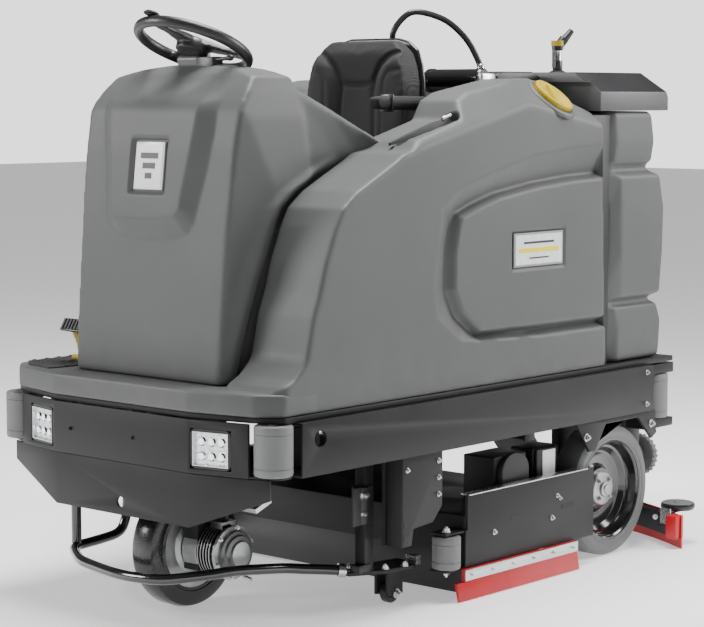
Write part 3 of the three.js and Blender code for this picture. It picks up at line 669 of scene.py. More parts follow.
VOXEL = 0.006
NOSE_LOW = 0.6274
nose_side = [(-0.862, NOSE_LOW), (-0.854, 0.745), (-0.842, 0.895), (-0.827, 1.057), (-0.808, 1.219),
             (-0.790, 1.315), (-0.775, 1.342), (-0.745, 1.376), (-0.710, 1.412), (-0.680, 1.432),
             (-0.650, 1.438), (-0.610, 1.433), (-0.582, 1.416), (-0.566, 1.380), (-0.548, 1.100),
             (-0.540, NOSE_LOW)]
nose_plan = [(0.300, -0.520), (0.300, -0.690), (0.270, -0.855), (0.252, -0.870)]
nose_front = [(0.300, NOSE_LOW), (0.300, 1.130), (0.286, 1.300), (0.272, 1.366), (0.256, 1.404),
              (0.180, 1.424), (0.100, 1.434), (0.030, 1.438)]
shapes = [bmesh.new() for _ in range(3)]
slab(shapes[0], nose_side, "x", -0.31, 0.31)
slab(shapes[1], both(nose_plan), "z", NOSE_LOW, 1.45)
slab(shapes[2], both(nose_front), "y", -0.88, -0.50)
nose = common(*shapes)

# The wing, front to back: y, its outer edge at the top and half-way down, then its top and foot.
wing = [(-0.700, 0.240, 0.268, 1.380, 0.80), (-0.630, 0.262, 0.283, 1.402, 0.96),
        (-0.557, 0.276, 0.291, 1.369, 1.02), (-0.462, 0.296, 0.302, 1.322, 1.09),
        (-0.390, 0.322, 0.318, 1.279, 1.130), (-0.345, 0.360, 0.345, 1.244, 1.160),
        (-0.318, 0.410, 0.380, 1.222, 1.180)]
lofted(nose, [[(0.250, y, low), (0.300, y, low), (middle, y, (low + high) / 2), (x, y, high - 0.012),
               (x - 0.008, y, high), (x - 0.040, y, high), (x - 0.050, y, low + 0.02)]
              for y, x, middle, high, low in wing])

PANEL_OUTER = [(0.200, 1.45), (0.199, 1.334), (0.201, 1.257), (0.188, 1.172), (0.161, 1.065),
               (0.152, 1.029), (0.129, 1.003), (0.063, 0.986), (-0.020, 0.982), (-0.107, 0.990),
               (-0.135, 1.000), (-0.158, 1.017), (-0.174, 1.038), (-0.190, 1.163), (-0.222, 1.333),
               (-0.225, 1.45)]
PANEL_INNER = [(0.156, 1.45), (0.155, 1.334), (0.152, 1.277), (0.144, 1.200), (0.125, 1.100),
               (0.123, 1.068), (0.105, 1.049), (0.038, 1.040), (-0.116, 1.038), (-0.129, 1.063),
               (-0.141, 1.165), (-0.170, 1.333), (-0.172, 1.45)]
PANEL_RISE, BADGE_DEPTH = 0.030, 0.011
BADGE = (-0.002, 1.175, 0.064, 0.070)  # middle x and z, half width, half height of its recess


def nose_relief(places, normals):
    """The raised front panel, the badge's recess and the soft rim beside the joint."""
    x, y, z = places.T
    facing = ramp(-normals[:, 1], 0.25, 0.75)
    edge, top = into(places[:, [0, 2]], PANEL_OUTER), into(places[:, [0, 2]], PANEL_INNER)
    share = np.where(edge < 0, 0, np.where(top > 0, 1, edge / np.maximum(edge - top, 1e-4)))
    raised = PANEL_RISE * share * facing * (1 - ramp(z, 1.325, 1.400))
    badge = np.minimum(BADGE[2] - np.abs(x - BADGE[0]), BADGE[3] - np.abs(z - BADGE[1]))
    sunk = BADGE_DEPTH * ramp(badge, -0.004, 0.003) * facing
    joint = np.interp(z, [0.628, 0.715, 0.865, 1.027, 1.072, 1.113, 1.187, 1.213],
                      [-0.798, -0.779, -0.734, -0.674, -0.648, -0.592, -0.437, -0.405])
    beside = ramp(normals[:, 0], 0.4, 0.9) * (1 - ramp(z, 1.120, 1.210))
    rim = 0.010 * np.exp(-((y - joint + 0.040) / 0.022) ** 2) * beside
    roll = -0.016 * ramp(y, joint - 0.014, joint + 0.004) * beside
    return moves(rim + roll, sunk - raised, 0)


piece("nose_moulding", pressed(fused(nose, VOXEL, 7), nose_relief), body_grey, "chassis",
      ["nose_shell"], 60)


def badge_finish():
    """White enamel under a clear coat."""
    finish = Finish("badge_enamel", Coat_Weight=0.5, Coat_Roughness=0.1)
    cloud = finish.blotch(30, 3)
    return finish.dressed(finish.between(cloud, (0.74, 0.75, 0.76), (0.84, 0.84, 0.85)), 0.22 + 0.1 * cloud,
                          finish.blotch(900, 2), 0.00006)


badge_white = badge_finish()
badge_edge = surfaced("badge_edge", (0.30, 0.31, 0.32), (0.42, 0.43, 0.44), 0.35, 300, 0.0001, metallic=0.7)
badge_ink = surfaced("badge_ink", (0.010, 0.010, 0.011), (0.030, 0.030, 0.031), 0.4, 600, 0.0001)

# Front badge: a bordered plate with three plain bars as a generic mark.
def about(middle, half):
    """The span that reaches as far either side of its middle."""
    return middle - half, middle + half


plate = blocks(0.0015, 2, (about(BADGE[0], 0.054), (0, 0.005), about(BADGE[1], 0.062)))
for face in plate.faces:
    face.material_index = 1
tinted(plate, 0, bar, about(BADGE[0], 0.048), (-0.0012, 0.001), about(BADGE[1], 0.056))
for i, half in enumerate((0.032, 0.023, 0.012)):
    tinted(plate, 2, bar, about(BADGE[0], half), (-0.0022, 0.0), about(BADGE[1] + 0.026 - i * 0.026, 0.0075))
moved(plate, plate.verts[:], Matrix.Translation((0, -0.8372, BADGE[1])), Matrix.Rotation(-0.118, 4, "X"),
      Matrix.Translation((0, 0, -BADGE[1])))
piece("nose_badge", plate, [badge_white, badge_edge, badge_ink], "chassis")

# ---- Tank walls --------------------------------------------------------------------------
# The solution tank: two hollow moulded walls either side of the seat. Each has a sloping
# shoulder, and on the outer face a wide sunk border round a raised panel.
BORDER = [(-0.262, 1.003), (-0.290, 0.846), (-0.277, 0.771), (-0.171, 0.699), (0.180, 0.685), (0.60, 0.685),
          (0.60, 1.226), (0.491, 1.219), (0.314, 1.208), (0.126, 1.187), (-0.053, 1.145), (-0.183, 1.106),
          (-0.258, 1.066)]
CHANNEL = [(-0.192, 1.022), (-0.210, 0.946), (-0.213, 0.836), (-0.176, 0.768), (-0.134, 0.736),
           (-0.088, 0.702), (0.179, 0.699), (0.62, 0.697), (0.62, 1.146), (0.493, 1.140), (0.340, 1.134),
           (0.173, 1.121), (-0.009, 1.096), (-0.096, 1.073), (-0.176, 1.047)]
CHANNEL_W = 0.024
BORDER_DEPTH, HANDLE_DEPTH = 0.030, 0.024
SIDE_BADGE = (0.179, 0.930, 0.122, 0.054)  # middle y and z, half width, half height of its recess


def wall_relief(side):
    def relief(places, normals):
        x, y, z = places.T
        facing = ramp(side * normals[:, 0], 0.45, 0.8) * (side * x > 0.42)
        plane = places[:, [1, 2]]
        edge, slot = into(plane, BORDER), into(plane, CHANNEL)
        share = np.clip(edge / np.maximum(edge - slot, 1e-4), 0, 1)
        sunk = np.where(edge < 0, 0, np.where(slot < 0, share, 1)) * (1 - 0.85 * ramp(slot, 0.004, CHANNEL_W))
        sunk *= BORDER_DEPTH
        badge = np.minimum(SIDE_BADGE[2] - np.abs(y - SIDE_BADGE[0]),
                           SIDE_BADGE[3] - np.abs(z - SIDE_BADGE[1]))
        sunk += 0.008 * ramp(badge, -0.003, 0.004)
        move = moves(-side * sunk * facing, 0, 0)
        if side > 0:
            slit = apart(places, (0.424, -0.350, 1.242), (0.446, -0.150, 1.296))
            move -= normals * (HANDLE_DEPTH * (1 - ramp(slit, 0.010, 0.022)))[:, None]
        return move
    return relief


sweep_side = [(-0.890, 0.600), (-0.868, 0.640), (-0.825, 0.660), (-0.792, 0.690), (-0.770, 0.728),
              (-0.757, 0.765), (-0.700, 0.765), (-0.700, 0.600)]
sweep, corner = bmesh.new(), bmesh.new()
slab(sweep, sweep_side, "x", 0.301, 0.500)
slab(corner, [(0.30, -0.930), (0.435, -0.908), (0.500, -0.852), (0.500, -0.69), (0.30, -0.69)], "z", 0.58,
     0.80)
for side, name in SIDES:
    wall = merged("solution_tank_" + name)
    if side > 0:
        joined(wall, common(sweep, corner))
    piece("tank_wall_" + name, pressed(fused(wall, VOXEL, 7), wall_relief(side)), body_grey, "chassis",
          ["solution_tank_" + name], 60)
piece("tank_middle", rounded(merged("tank_centre"), 0.014, 3), body_grey, "chassis",
      ["tank_centre"])
piece("seat_box", rounded(merged("seat_console"), 0.006, 3), body_grey, "chassis",
      ["seat_console"])
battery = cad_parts["battery_pack"].data.materials
battery.clear()
battery.append(surfaced("battery_case", (0.010, 0.010, 0.012), (0.030, 0.030, 0.034), 0.45, 200, 0.0003))

# Side badges: white plates with one yellow band and two dark ones, in a satin frame.
RECESS_FLOOR = 0.4935
badge_yellow = surfaced("badge_yellow", (0.80, 0.62, 0.005), (0.90, 0.72, 0.01), 0.3, 500, 0.0001)
for side, name in SIDES:
    plate = bmesh.new()
    for half_y, half_z, lift, material in ((0.114, 0.047, 0.000, 1), (0.107, 0.041, 0.0012, 0)):
        tinted(plate, material, bar, (-0.004, lift), about(SIDE_BADGE[0], half_y),
               about(SIDE_BADGE[1], half_z))
    for low, high, material, half in ((0.922, 0.934, 3, 0.092), (0.946, 0.952, 2, 0.070),
                                      (0.904, 0.908, 2, 0.045)):
        tinted(plate, material, bar, (0.0, 0.0018), about(SIDE_BADGE[0], half), (low, high))
    moved(plate, plate.verts[:], Matrix.Translation((RECESS_FLOOR, 0, 0)))
    mirrored(plate, side)
    piece("side_badge_" + name, plate, [badge_white, badge_edge, badge_ink, badge_yellow], "chassis")

# ---- Recovery tank -----------------------------------------------------------------------
# The dirty-water tank across the rear: moulded in three bands with deep grooves between
# them, and a soft neck that comes down behind the left wheel to the drain.
BANDS = [(0.5702, 0.472, 0.565, 0.589, 0.862), (0.580, 0.480, 0.562, 0.591, 0.866),
         (0.681, 0.482, 0.548, 0.593, 0.872), (0.732, 0.480, 0.533, 0.574, 0.852),
         (0.743, 0.460, 0.531, 0.566, 0.832), (0.753, 0.460, 0.531, 0.566, 0.832),
         (0.766, 0.482, 0.534, 0.602, 0.866), (0.889, 0.487, 0.562, 0.600, 0.872),
         (1.025, 0.488, 0.562, 0.596, 0.874), (1.118, 0.486, 0.538, 0.594, 0.852),
         (1.136, 0.464, 0.534, 0.566, 0.812), (1.150, 0.464, 0.534, 0.562, 0.806),
         (1.162, 0.482, 0.537, 0.565, 0.812), (1.220, 0.484, 0.541, 0.576, 0.824),
         (1.298, 0.481, 0.543, 0.570, 0.812), (1.309, 0.473, 0.546, 0.572, 0.804)]
rear = bmesh.new()
rings = []
for z, half, front, side_front, back in BANDS:
    quarter = [(half - 0.026, front), (half, side_front), (half, back - 0.058), (half - 0.045, back - 0.010),
               (half - 0.085, back)]
    rings.append([(x, y, z) for x, y in both(quarter)])
lofted(rear, rings)
DRAIN_X, DRAIN_Z = 0.372, 0.250
rod(rear, Matrix.Translation((DRAIN_X, 0.820, 0.405)), 0.030, 0.34, 0.036)
rod(rear, pointing((DRAIN_X, 0.825, 0.252), (0, 1, 0)), 0.034, 0.070)
ball(rear, (DRAIN_X, 0.820, DRAIN_Z), 0.034)
piece("recovery_moulding", fused(rear, VOXEL, 4), body_grey, "chassis", ["recovery_tank"], 60)

# A plain black panel fills the slot between the two tanks: painted shade, a dark sheet where the gap lies in
# shadow. This black is painted shade here and in the handle recess, and real dark plastic on the foot damper
# and the deck's motor caps.
dark_plastic_and_shade = surfaced("dark_plastic_and_shade", (0.010, 0.010, 0.011), (0.018, 0.018, 0.019), 0.5, 640, 0.0003)
slot = blocks(0.004, 2, ((-0.470, 0.470), (0.470, 0.556), (0.571, 1.300)))
piece("gap_shade_panel", slot, dark_plastic_and_shade, "chassis")

# Drain cap: a grey knob with grip ribs round it and a recessed face towards the rear.
cap_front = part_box("drain_cap")[0].y
cap = turned([(0.0, 0.0), (0.058, 0.0), (0.062, 0.003), (0.062, 0.021), (0.058, 0.0256), (0.046, 0.0256),
              (0.042, 0.019), (0.0, 0.019)], (DRAIN_X, cap_front, DRAIN_Z), (0, 1, 0), 72)
for i in range(24):
    rib = bar(cap, (-0.0025, 0.0025), (0.0, 0.022), (0.059, 0.0645))
    moved(cap, rib, Matrix.Translation((DRAIN_X, cap_front + 0.002, DRAIN_Z)),
          Matrix.Rotation(2 * math.pi * i / 24, 4, "Y"))
grip = bar(cap, (-0.034, 0.034), (0.016, 0.0255), (-0.006, 0.006))
moved(cap, grip, Matrix.Translation((DRAIN_X, cap_front, DRAIN_Z)))
piece("drain_knob", cap, pale_rubber, "drain_cap", ["drain_cap"])

# ---- Recovery lid and covers -------------------------------------------------------------
# Black textured covers: the hinged lid of the recovery tank with its chamfered shoulders and
# side lip, the lower cover behind the seat, and the suction duct that lies across the tanks.
lid_plastic = surfaced("lid_plastic", (0.008, 0.008, 0.009), (0.016, 0.016, 0.017), 0.42, 560, 0.0004, 0.16)
lid_skirt = surfaced("lid_skirt", (0.060, 0.061, 0.062), (0.085, 0.086, 0.087), 0.4, 560, 0.0003, 0.12)
lid = rounded(merged("recovery_lid"), 0.007, 3, 20)
for face in lid.faces:
    face.material_index = 1 if face.normal.z < 0.5 and face.calc_center_median().z < 1.416 else 0
for y in (0.545, 0.790):
    bar(lid, (-0.38, 0.10), about(y, 0.004), (1.4215, 1.4245))
piece("lid_shell", lid, [lid_plastic, lid_skirt], "recovery_lid", ["recovery_lid"], 30)

cover = rounded(merged("top_cover"), 0.006, 3, 20)
piece("turbine_cover", cover, lid_plastic, "chassis", ["top_cover"], 30)

duct_gloss = surfaced("duct_gloss", (0.008, 0.008, 0.009), (0.016, 0.016, 0.017), 0.12, 300, 0.0001, 0.06,
                      coat=0.6)
duct = turned([(0.0, 0.0), (0.030, 0.0), (0.035, 0.005), (0.035, 0.020), (0.033, 0.022), (0.033, 0.180),
               (0.035, 0.182), (0.035, 0.198), (0.031, 0.203), (0.0, 0.203)], (0.078, 0.200, 1.398),
              (1, 0, 0), 56)
piece("suction_duct", duct, duct_gloss, "chassis")

fitting = blocks(0.005, 2, ((0.276, 0.298), (0.170, 0.232), (1.372, 1.418)))
for x, y, z, lean in ((-0.075, 0.262, 1.4240, -0.25), (0.110, 0.402, 1.4240, 0.05)):
    joined(fitting, turned([(0.0, 0.0), (0.017, 0.0), (0.017, 0.006), (0.0125, 0.009), (0.0115, 0.020),
                            (0.0085, 0.024)], (x, y, z), (0, lean, 1), 32))
piece("hose_fittings", fitting, bright_zinc, "chassis")

# ---- Filler cap --------------------------------------------------------------------------
# Bright yellow screw cap on the left shoulder: a domed rim with grip ribs, and a finger
# bridge across a dished middle. A grey collar stands round it on the tank.
CAP_PLACE = Vector((0.448, 0.294, 1.346))
CAP_AXIS = Vector((0.62, 0.14, 0.77)).normalized()
yellow = surfaced("yellow_plastic", (0.36, 0.255, 0.0), (0.44, 0.315, 0.0), 0.5, 420, 0.0003, 0.1)
cap = turned([(0.0, 0.007), (0.034, 0.007), (0.040, 0.010), (0.052, 0.0165), (0.058, 0.0185), (0.062, 0.017),
              (0.064, 0.013), (0.064, 0.002), (0.0, 0.002)], (0, 0, 0), (0, 0, 1), 72)
bar(cap, (-0.052, 0.052), (-0.009, 0.009), (0.006, 0.0175))
for i in range(36):
    rib = bar(cap, (0.0630, 0.0652), (-0.0014, 0.0014), (0.003, 0.014))
    moved(cap, rib, Matrix.Rotation(2 * math.pi * i / 36, 4, "Z"))
moved(cap, cap.verts[:], pointing(CAP_PLACE, CAP_AXIS), Matrix.Rotation(0.9, 4, "Z"))
piece("filler_screw_cap", cap, yellow, "filler_cap", ["filler_cap"])
collar = turned([(0.0655, -0.004), (0.0655, 0.005), (0.072, 0.006), (0.080, 0.002), (0.082, -0.006),
                 (0.0655, -0.004)], CAP_PLACE, CAP_AXIS, 72)
piece("filler_collar", collar, body_grey, "chassis")

# Handle slot in the left wall: a dark wedge on its floor is painted shade in the recess, with a small bright
# pin at its rear.
recess_shade_wedge = bmesh.new()
lofted(recess_shade_wedge, [[(x - w, y, z - w), (x + w, y, z - 0.6 * w), (x + 0.6 * w, y, z + w), (x - w, y, z + w)]
                    for x, y, z, w in ((0.416, -0.372, 1.228, 0.004), (0.426, -0.300, 1.246, 0.010),
                                       (0.434, -0.210, 1.270, 0.013), (0.438, -0.165, 1.283, 0.010))])
piece("handle_recess_shade", recess_shade_wedge, dark_plastic_and_shade, "chassis")
pin = turned([(0.0, 0.0), (0.005, 0.001), (0.0065, 0.003), (0.0065, 0.012), (0.005, 0.014), (0.005, 0.035),
              (0.0, 0.035)], (0.440, -0.188, 1.292), (0.12, 0.9, 0.28), 24)
piece("grab_pin", pin, bright_zinc, "chassis")

# ---- Seat --------------------------------------------------------------------------------
# Driver's seat on a hard black shell: foam cushions in black vinyl-backed cloth, sewn in
# panels with a channel between each, and a padded arm on the left that folds up.
def seat_cloth():
    """Black coated cloth: a fine basket weave, a soft sheen and paler wear on the crowns."""
    finish = Finish("seat_cloth", Sheen_Weight=0.06, Specular_IOR_Level=0.3)
    across, up = (finish.node("ShaderNodeTexWave", {"bands_direction": way},
                              {"Vector": finish.place, "Scale": 190.0, "Distortion": 0.6}) for way in "XZ")
    thread, wear = across * up, finish.blotch(9, 4)
    tone = finish.between(finish.range(wear + 0.25 * thread, 0.4, 1.0), (0.006, 0.006, 0.007),
                          (0.017, 0.017, 0.018))
    return finish.dressed(tone, 0.5 + 0.2 * thread + 0.12 * wear, thread, 0.0007, 0.8)


cloth = seat_cloth()
shell_gloss = surfaced("seat_shell", (0.007, 0.007, 0.008), (0.016, 0.016, 0.017), 0.3, 500, 0.0002, 0.1,
                       coat=0.1)


def swollen(bm, most):
    """Blows a pad up as cloth over foam, with no point moving further than the given distance."""
    obj = temporary(bm)
    before = [v.co.copy() for v in obj.data.vertices]
    modifier = obj.modifiers.new("cloth", "CLOTH")
    settings = modifier.settings
    settings.use_pressure = True
    settings.uniform_pressure_force = 4.0
    settings.effector_weights.gravity = 0.0
    settings.quality = 4
    settings.tension_stiffness = settings.compression_stiffness = 18
    modifier.collision_settings.use_collision = False
    for step_frame in range(1, 21):
        bpy.context.scene.frame_set(step_frame)
    made = evaluated(obj)
    for vert, start in zip(made.verts, before):
        move = vert.co - start
        if move.length > most:
            vert.co = start + move.normalized() * most
    bpy.data.objects.remove(obj)
    bpy.context.scene.frame_set(1)
    return made


def pad(name, outline, x, body, front=None, voxel=0.006, lean=None, replaces=(), most=0.006,
        shrink=0.002):
    """A foam pad: a side outline pushed across, shrunk a little, blown up and smoothed."""
    bm = bmesh.new()
    slab(bm, outline, "x", *x)
    if front:
        face = bmesh.new()
        slab(face, front, "y", outline[0][0] - 0.1, outline[0][0] + 0.3)
        bm = common(bm, face)
    rounded(bm, 0.014, 3, 20)
    bm = fused(bm, voxel, 4)
    bm.normal_update()
    for vert in bm.verts:
        vert.co -= vert.normal * shrink
    bm = swollen(bm, most)
    bm.normal_update()
    if lean:
        pressed(bm, lean)
    obj = piece(name, smoothed(bm), cloth, body, replaces, 80)
    modifier = obj.modifiers.new("smooth", "SUBSURF")
    modifier.levels = modifier.render_levels = 1
    return obj


SEAM = [(0.000, 1.386), (0.058, 1.390), (0.061, 1.330), (0.070, 1.180), (0.070, 1.050)]
WELT = [(0.158, 1.480), (0.120, 1.468), (0.086, 1.440), (0.066, 1.404), (0.059, 1.372)]
TUCK = [(0.160, 1.428), (0.128, 1.422), (0.113, 1.396), (0.108, 1.300), (0.106, 1.100)]


def sewn(places, normals):
    """The backrest's face: bolsters that stand forward, and the sewn channels between them."""
    x, y, z = places.T
    facing = ramp(-normals[:, 1], 0.1, 0.6)
    half = np.abs(x)
    depth = np.zeros(len(x))
    for line, width, deep in ((SEAM, 0.010, 0.010), (WELT, 0.013, 0.013), (TUCK, 0.009, 0.006)):
        away = np.min([apart(np.stack([half, z], axis=1), a, b) for a, b in zip(line, line[1:])], axis=0)
        depth = np.maximum(depth, deep * (1 - ramp(away, 0, width)))
    inner = np.interp(z, [1.05, 1.372, 1.404, 1.440, 1.468, 1.480],
                      [0.068, 0.059, 0.066, 0.086, 0.120, 0.158])
    proud = 0.014 * ramp(half - inner, 0.004, 0.040) * (1 - ramp(z, 1.440, 1.485))
    hollow = 0.010 * (1 - ramp(half, 0.0, 0.130)) * (1 - ramp(z, 1.350, 1.500))
    return moves(0, (depth + hollow - proud) * facing, 0)


pad("back_pad", [(-0.044, 1.056), (0.026, 1.056), (0.046, 1.470), (0.034, 1.516), (-0.006, 1.518),
                 (-0.026, 1.480)], (-0.2, 0.2), "backrest", both([(0.188, 1.050), (0.196, 1.250),
                                                                  (0.190, 1.390), (0.178, 1.440),
                                                                  (0.158, 1.486), (0.126, 1.514),
                                                                  (0.090, 1.524)]),
    replaces=["seat_backrest"], lean=sewn)
shell = bmesh.new()
slab(shell, both([(0.178, 1.055), (0.194, 1.250), (0.190, 1.390), (0.180, 1.440), (0.162, 1.484),
                  (0.130, 1.508), (0.090, 1.518)]), "y", 0.022, 0.036)
rounded(shell, 0.006, 3, 12)
pressed(shell, lambda places, normals: moves(0, 0.026 * (places[:, 2] - 1.055) / 0.46 - 0.002, 0))
bar(shell, (-0.150, 0.150), (-0.044, 0.020), (0.985, 1.060))
piece("backrest_shell", shell, shell_gloss, "backrest")


def quilted(places, normals):
    """The cushion's top: a channel along each side, and two across between them."""
    x, y, z = places.T
    sunk = 0.009 * (1 - ramp(np.abs(np.abs(x) - CUSHION_SEAM), 0, 0.009))
    for seam_y in (-0.20, -0.32):
        sunk += 0.008 * (1 - ramp(np.abs(y - seam_y), 0, 0.008)) * (np.abs(x) < CUSHION_SEAM)
    return moves(0, 0, -sunk * ramp(normals[:, 2], 0.2, 0.8))


CUSHION_SEAM = 0.135
pad("seat_pad", [(-0.443, 1.018), (-0.425, 1.000), (-0.072, 1.000), (-0.072, 1.056), (-0.405, 1.068),
                 (-0.437, 1.056)], (-0.214, 0.214), "seat", replaces=["seat_cushion"], most=0.010,
    shrink=0.003, lean=quilted)
base = bmesh.new()
slab(base, [(-0.446, 0.990), (-0.432, 0.978), (-0.074, 0.978), (-0.074, 1.004), (-0.446, 1.010)], "x",
     -0.220, 0.220)
bar(base, (-0.190, 0.190), (-0.262, -0.052), (0.962, 0.985))
rounded(base, 0.005, 2)
for x in (-0.17, 0.17):
    bar(base, about(x, 0.016), (-0.260, -0.054), (0.9606, 0.970))
piece("seat_pan", base, shell_gloss, "seat")

pad("armrest_pad", [(-0.237, 1.334), (-0.225, 1.316), (0.006, 1.312), (0.010, 1.354), (-0.225, 1.356),
                    (-0.237, 1.350)], (0.219, 0.259), "armrest", replaces=["armrest_left"],
    most=0.006, shrink=0.003, voxel=0.004)
arm = bmesh.new()
bar(arm, (0.216, 0.262), (-0.180, -0.172), (1.311, 1.3595))
rod(arm, pointing((0.211, -0.012, 1.336), (1, 0, 0)), 0.017, 0.026)
rounded(arm, 0.003, 2)
piece("armrest_joint", arm, shell_gloss, "armrest")

# ---- Steering ----------------------------------------------------------------------------
# Thick moulded steering wheel with three broad spokes, a turning knob on its rim for one
# hand, and a grey sleeve round the column with a small direction lever under the wheel.
HUB = Vector((0, -0.677, 1.486))
TILT = math.radians(23.5)
on_column = Matrix.Translation(HUB) @ Matrix.Rotation(-TILT, 4, "X")
RIM_R, RIM_T = 0.149, 0.0155
soft_black = surfaced("soft_black", (0.009, 0.009, 0.010), (0.022, 0.022, 0.023), 0.36, 460, 0.0003, 0.12)
wheel = bmesh.new()
ring = bmesh.ops.create_circle(wheel, segments=20, radius=RIM_T)["verts"]
moved(wheel, ring, Matrix.Translation((RIM_R, 0, 0)), Matrix.Diagonal((0.88, 1, 1, 1)),
      Matrix.Rotation(math.pi / 2, 4, "X"))
bmesh.ops.spin(wheel, geom=ring + wheel.edges[:], cent=(0, 0, 0), axis=(0, 0, 1), angle=2 * math.pi, steps=88,
               use_merge=True)
bmesh.ops.remove_doubles(wheel, verts=wheel.verts, dist=1e-6)
for turn in (-90, 30, 150):
    lofted(wheel, [[(r, -w, h - t), (r, w, h - t), (r, w * 0.7, h + t), (r, -w * 0.7, h + t)] for r, w, h,
                   t in ((0.010, 0.034, 0.006, 0.010), (0.050, 0.027, 0.006, 0.009),
                         (0.090, 0.019, 0.002, 0.007), (0.125, 0.020, 0.000, 0.007),
                         (0.148, 0.026, 0.000, 0.006))])
    spoke = wheel.verts[-20:]
    moved(wheel, spoke, Matrix.Rotation(math.radians(turn), 4, "Z"))
boss = turned([(0.0, 0.019), (0.026, 0.018), (0.036, 0.013), (0.041, 0.004), (0.044, -0.010), (0.043, -0.022),
               (0.0, -0.022)], (0, 0, 0), (0, 0, 1), 56)
joined(wheel, boss)
wheel = fused(wheel, 0.0030, 5)
moved(wheel, wheel.verts[:], on_column)
piece("wheel_rim", wheel, soft_black, "steering_wheel", ["steering_wheel"], 60)

KNOB_TURN = math.radians(262)
knob = turned([(0.0, 0.0285), (0.010, 0.0278), (0.018, 0.0252), (0.0225, 0.0205), (0.0225, 0.0185),
               (0.013, 0.0170), (0.012, 0.0160), (0.0, 0.0160)], (0, 0, 0), (0, 0, 1), 40)
moved(knob, knob.verts[:], on_column,
      Matrix.Translation((RIM_R * math.cos(KNOB_TURN), RIM_R * math.sin(KNOB_TURN), 0)))
piece("wheel_knob", knob, soft_black, "steering_knob", ["steering_knob"])

sleeve = bmesh.new()
lofted(sleeve, [[(-0.066, front, z), (0.014, front, z), (0.014, -0.624, z + rise), (-0.062, -0.624, z + rise)]
                for front, z, rise in ((-0.668, 1.390, 0.0), (-0.672, 1.430, 0.006), (-0.678, 1.452, 0.016),
                                       (-0.672, 1.458, 0.018))])
sleeve_grey = surfaced("sleeve_grey", (0.10, 0.102, 0.104), (0.13, 0.132, 0.134), 0.34, 520, 0.0003)
piece("column_sleeve", fused(rounded(sleeve, 0.012, 3), 0.003, 4), sleeve_grey, "chassis",
      ["column_cover"], 60)
lever = blocks(0.004, 2, ((0.013, 0.074), (-0.680, -0.640), (1.400, 1.456)))
rod(lever, pointing((0.082, -0.668, 1.448), (1, 0.1, 0.1)), 0.004, 0.075, 0.0055, 20)
ball(lever, (0.121, -0.664, 1.452), 0.010, 20, 12, (1.3, 0.8, 0.8))
piece("direction_lever", lever, soft_black, "chassis")

# ---- Drive pedal -------------------------------------------------------------------------
# Yellow sprung pedal arm on the step with a black ribbed pad at its top.
pedal = bmesh.new()
slab(pedal, [(-0.742, 0.634), (-0.729, 0.640), (-0.738, 0.680), (-0.755, 0.715), (-0.775, 0.737),
             (-0.783, 0.731), (-0.764, 0.705), (-0.750, 0.675)], "x", -0.392, -0.360)
rod(pedal, pointing((-0.377, -0.738, 0.637), (1, 0, 0)), 0.008, 0.084, segments=24)
rounded(pedal, 0.002, 2)
piece("pedal_arm", pedal, yellow, "drive_pedal", ["drive_pedal"])
tread = blocks(0.003, 2, ((-0.415, -0.337), (-0.006, 0.004), (-0.018, 0.020)))
for i in range(6):
    bar(tread, (-0.408 + i * 0.0125, -0.401 + i * 0.0125), (-0.010, -0.005), (-0.014, 0.016))
moved(tread, tread.verts[:], Matrix.Translation((0, -0.778, 0.729)), Matrix.Rotation(-0.55, 4, "X"))
piece("pedal_pad", tread, frame_black, "drive_pedal")

# ---- Guard hoop --------------------------------------------------------------------------
# Round steel tube bent round the drive wheel and welded to its posts, in gloss black paint.
# It ends in a clamp on a foot plate, which carries a damper and a small caster in a fork.
gloss_black = surfaced("gloss_black_paint", (0.006, 0.006, 0.007), (0.013, 0.013, 0.014), 0.11, 240,
                       0.00012, 0.05, coat=0.8)
HOOP_R = 0.014


def swept(points, radius, sides):
    """A curve's tube as a mesh."""
    curve = curved("tube", points, radius, sides)
    curve.splines[0].resolution_u = 6
    obj = bpy.data.objects.new("tube", curve)
    bpy.context.scene.collection.objects.link(obj)
    bm = bmesh.new()
    bm.from_mesh(bpy.data.meshes.new_from_object(obj.evaluated_get(bpy.context.evaluated_depsgraph_get())))
    bpy.data.objects.remove(obj)
    bmesh.ops.remove_doubles(bm, verts=bm.verts, dist=1e-6)
    return bm


hoop_route = [(-0.400, -0.752, 0.111), (-0.364, -0.793, 0.111), (-0.261, -0.862, 0.111),
              (-0.169, -0.895, 0.112), (-0.037, -0.931, 0.116), (0.052, -0.932, 0.118),
              (0.121, -0.915, 0.121), (0.179, -0.882, 0.130), (0.218, -0.838, 0.136),
              (0.244, -0.778, 0.139), (0.262, -0.702, 0.133), (0.276, -0.626, 0.125),
              (0.295, -0.572, 0.117), (0.322, -0.515, 0.110), (0.362, -0.462, 0.104)]
post_route = [(-0.400, -0.752, 0.105), (-0.400, -0.752, 0.330), (-0.400, -0.752, 0.544)]
stay_route = [(-0.400, -0.745, 0.111), (-0.400, -0.660, 0.116), (-0.400, -0.600, 0.124),
              (-0.400, -0.574, 0.148), (-0.400, -0.562, 0.200), (-0.400, -0.560, 0.300),
              (-0.400, -0.560, 0.544)]
hoop = bmesh.new()
for route in (through(hoop_route, 3), post_route, through(stay_route, 3)):
    joined(hoop, swept(route, HOOP_R, 6))
ball(hoop, hoop_route[0], HOOP_R * 1.12)
piece("hoop_tube", hoop, gloss_black, "chassis", ["guard_hoop"], 50)

foot = rounded(merged("hoop_foot"), 0.0018, 2)
for low, high in ((0.3635, 0.3725), (0.4035, 0.4125)):
    slab(foot, [(-0.372, 0.096), (-0.310, 0.096), (-0.318, 0.026), (-0.330, 0.016), (-0.346, 0.016),
                (-0.357, 0.026)], "x", low, high)
piece("foot_plates", foot, powder_black, "chassis", ["hoop_foot"])

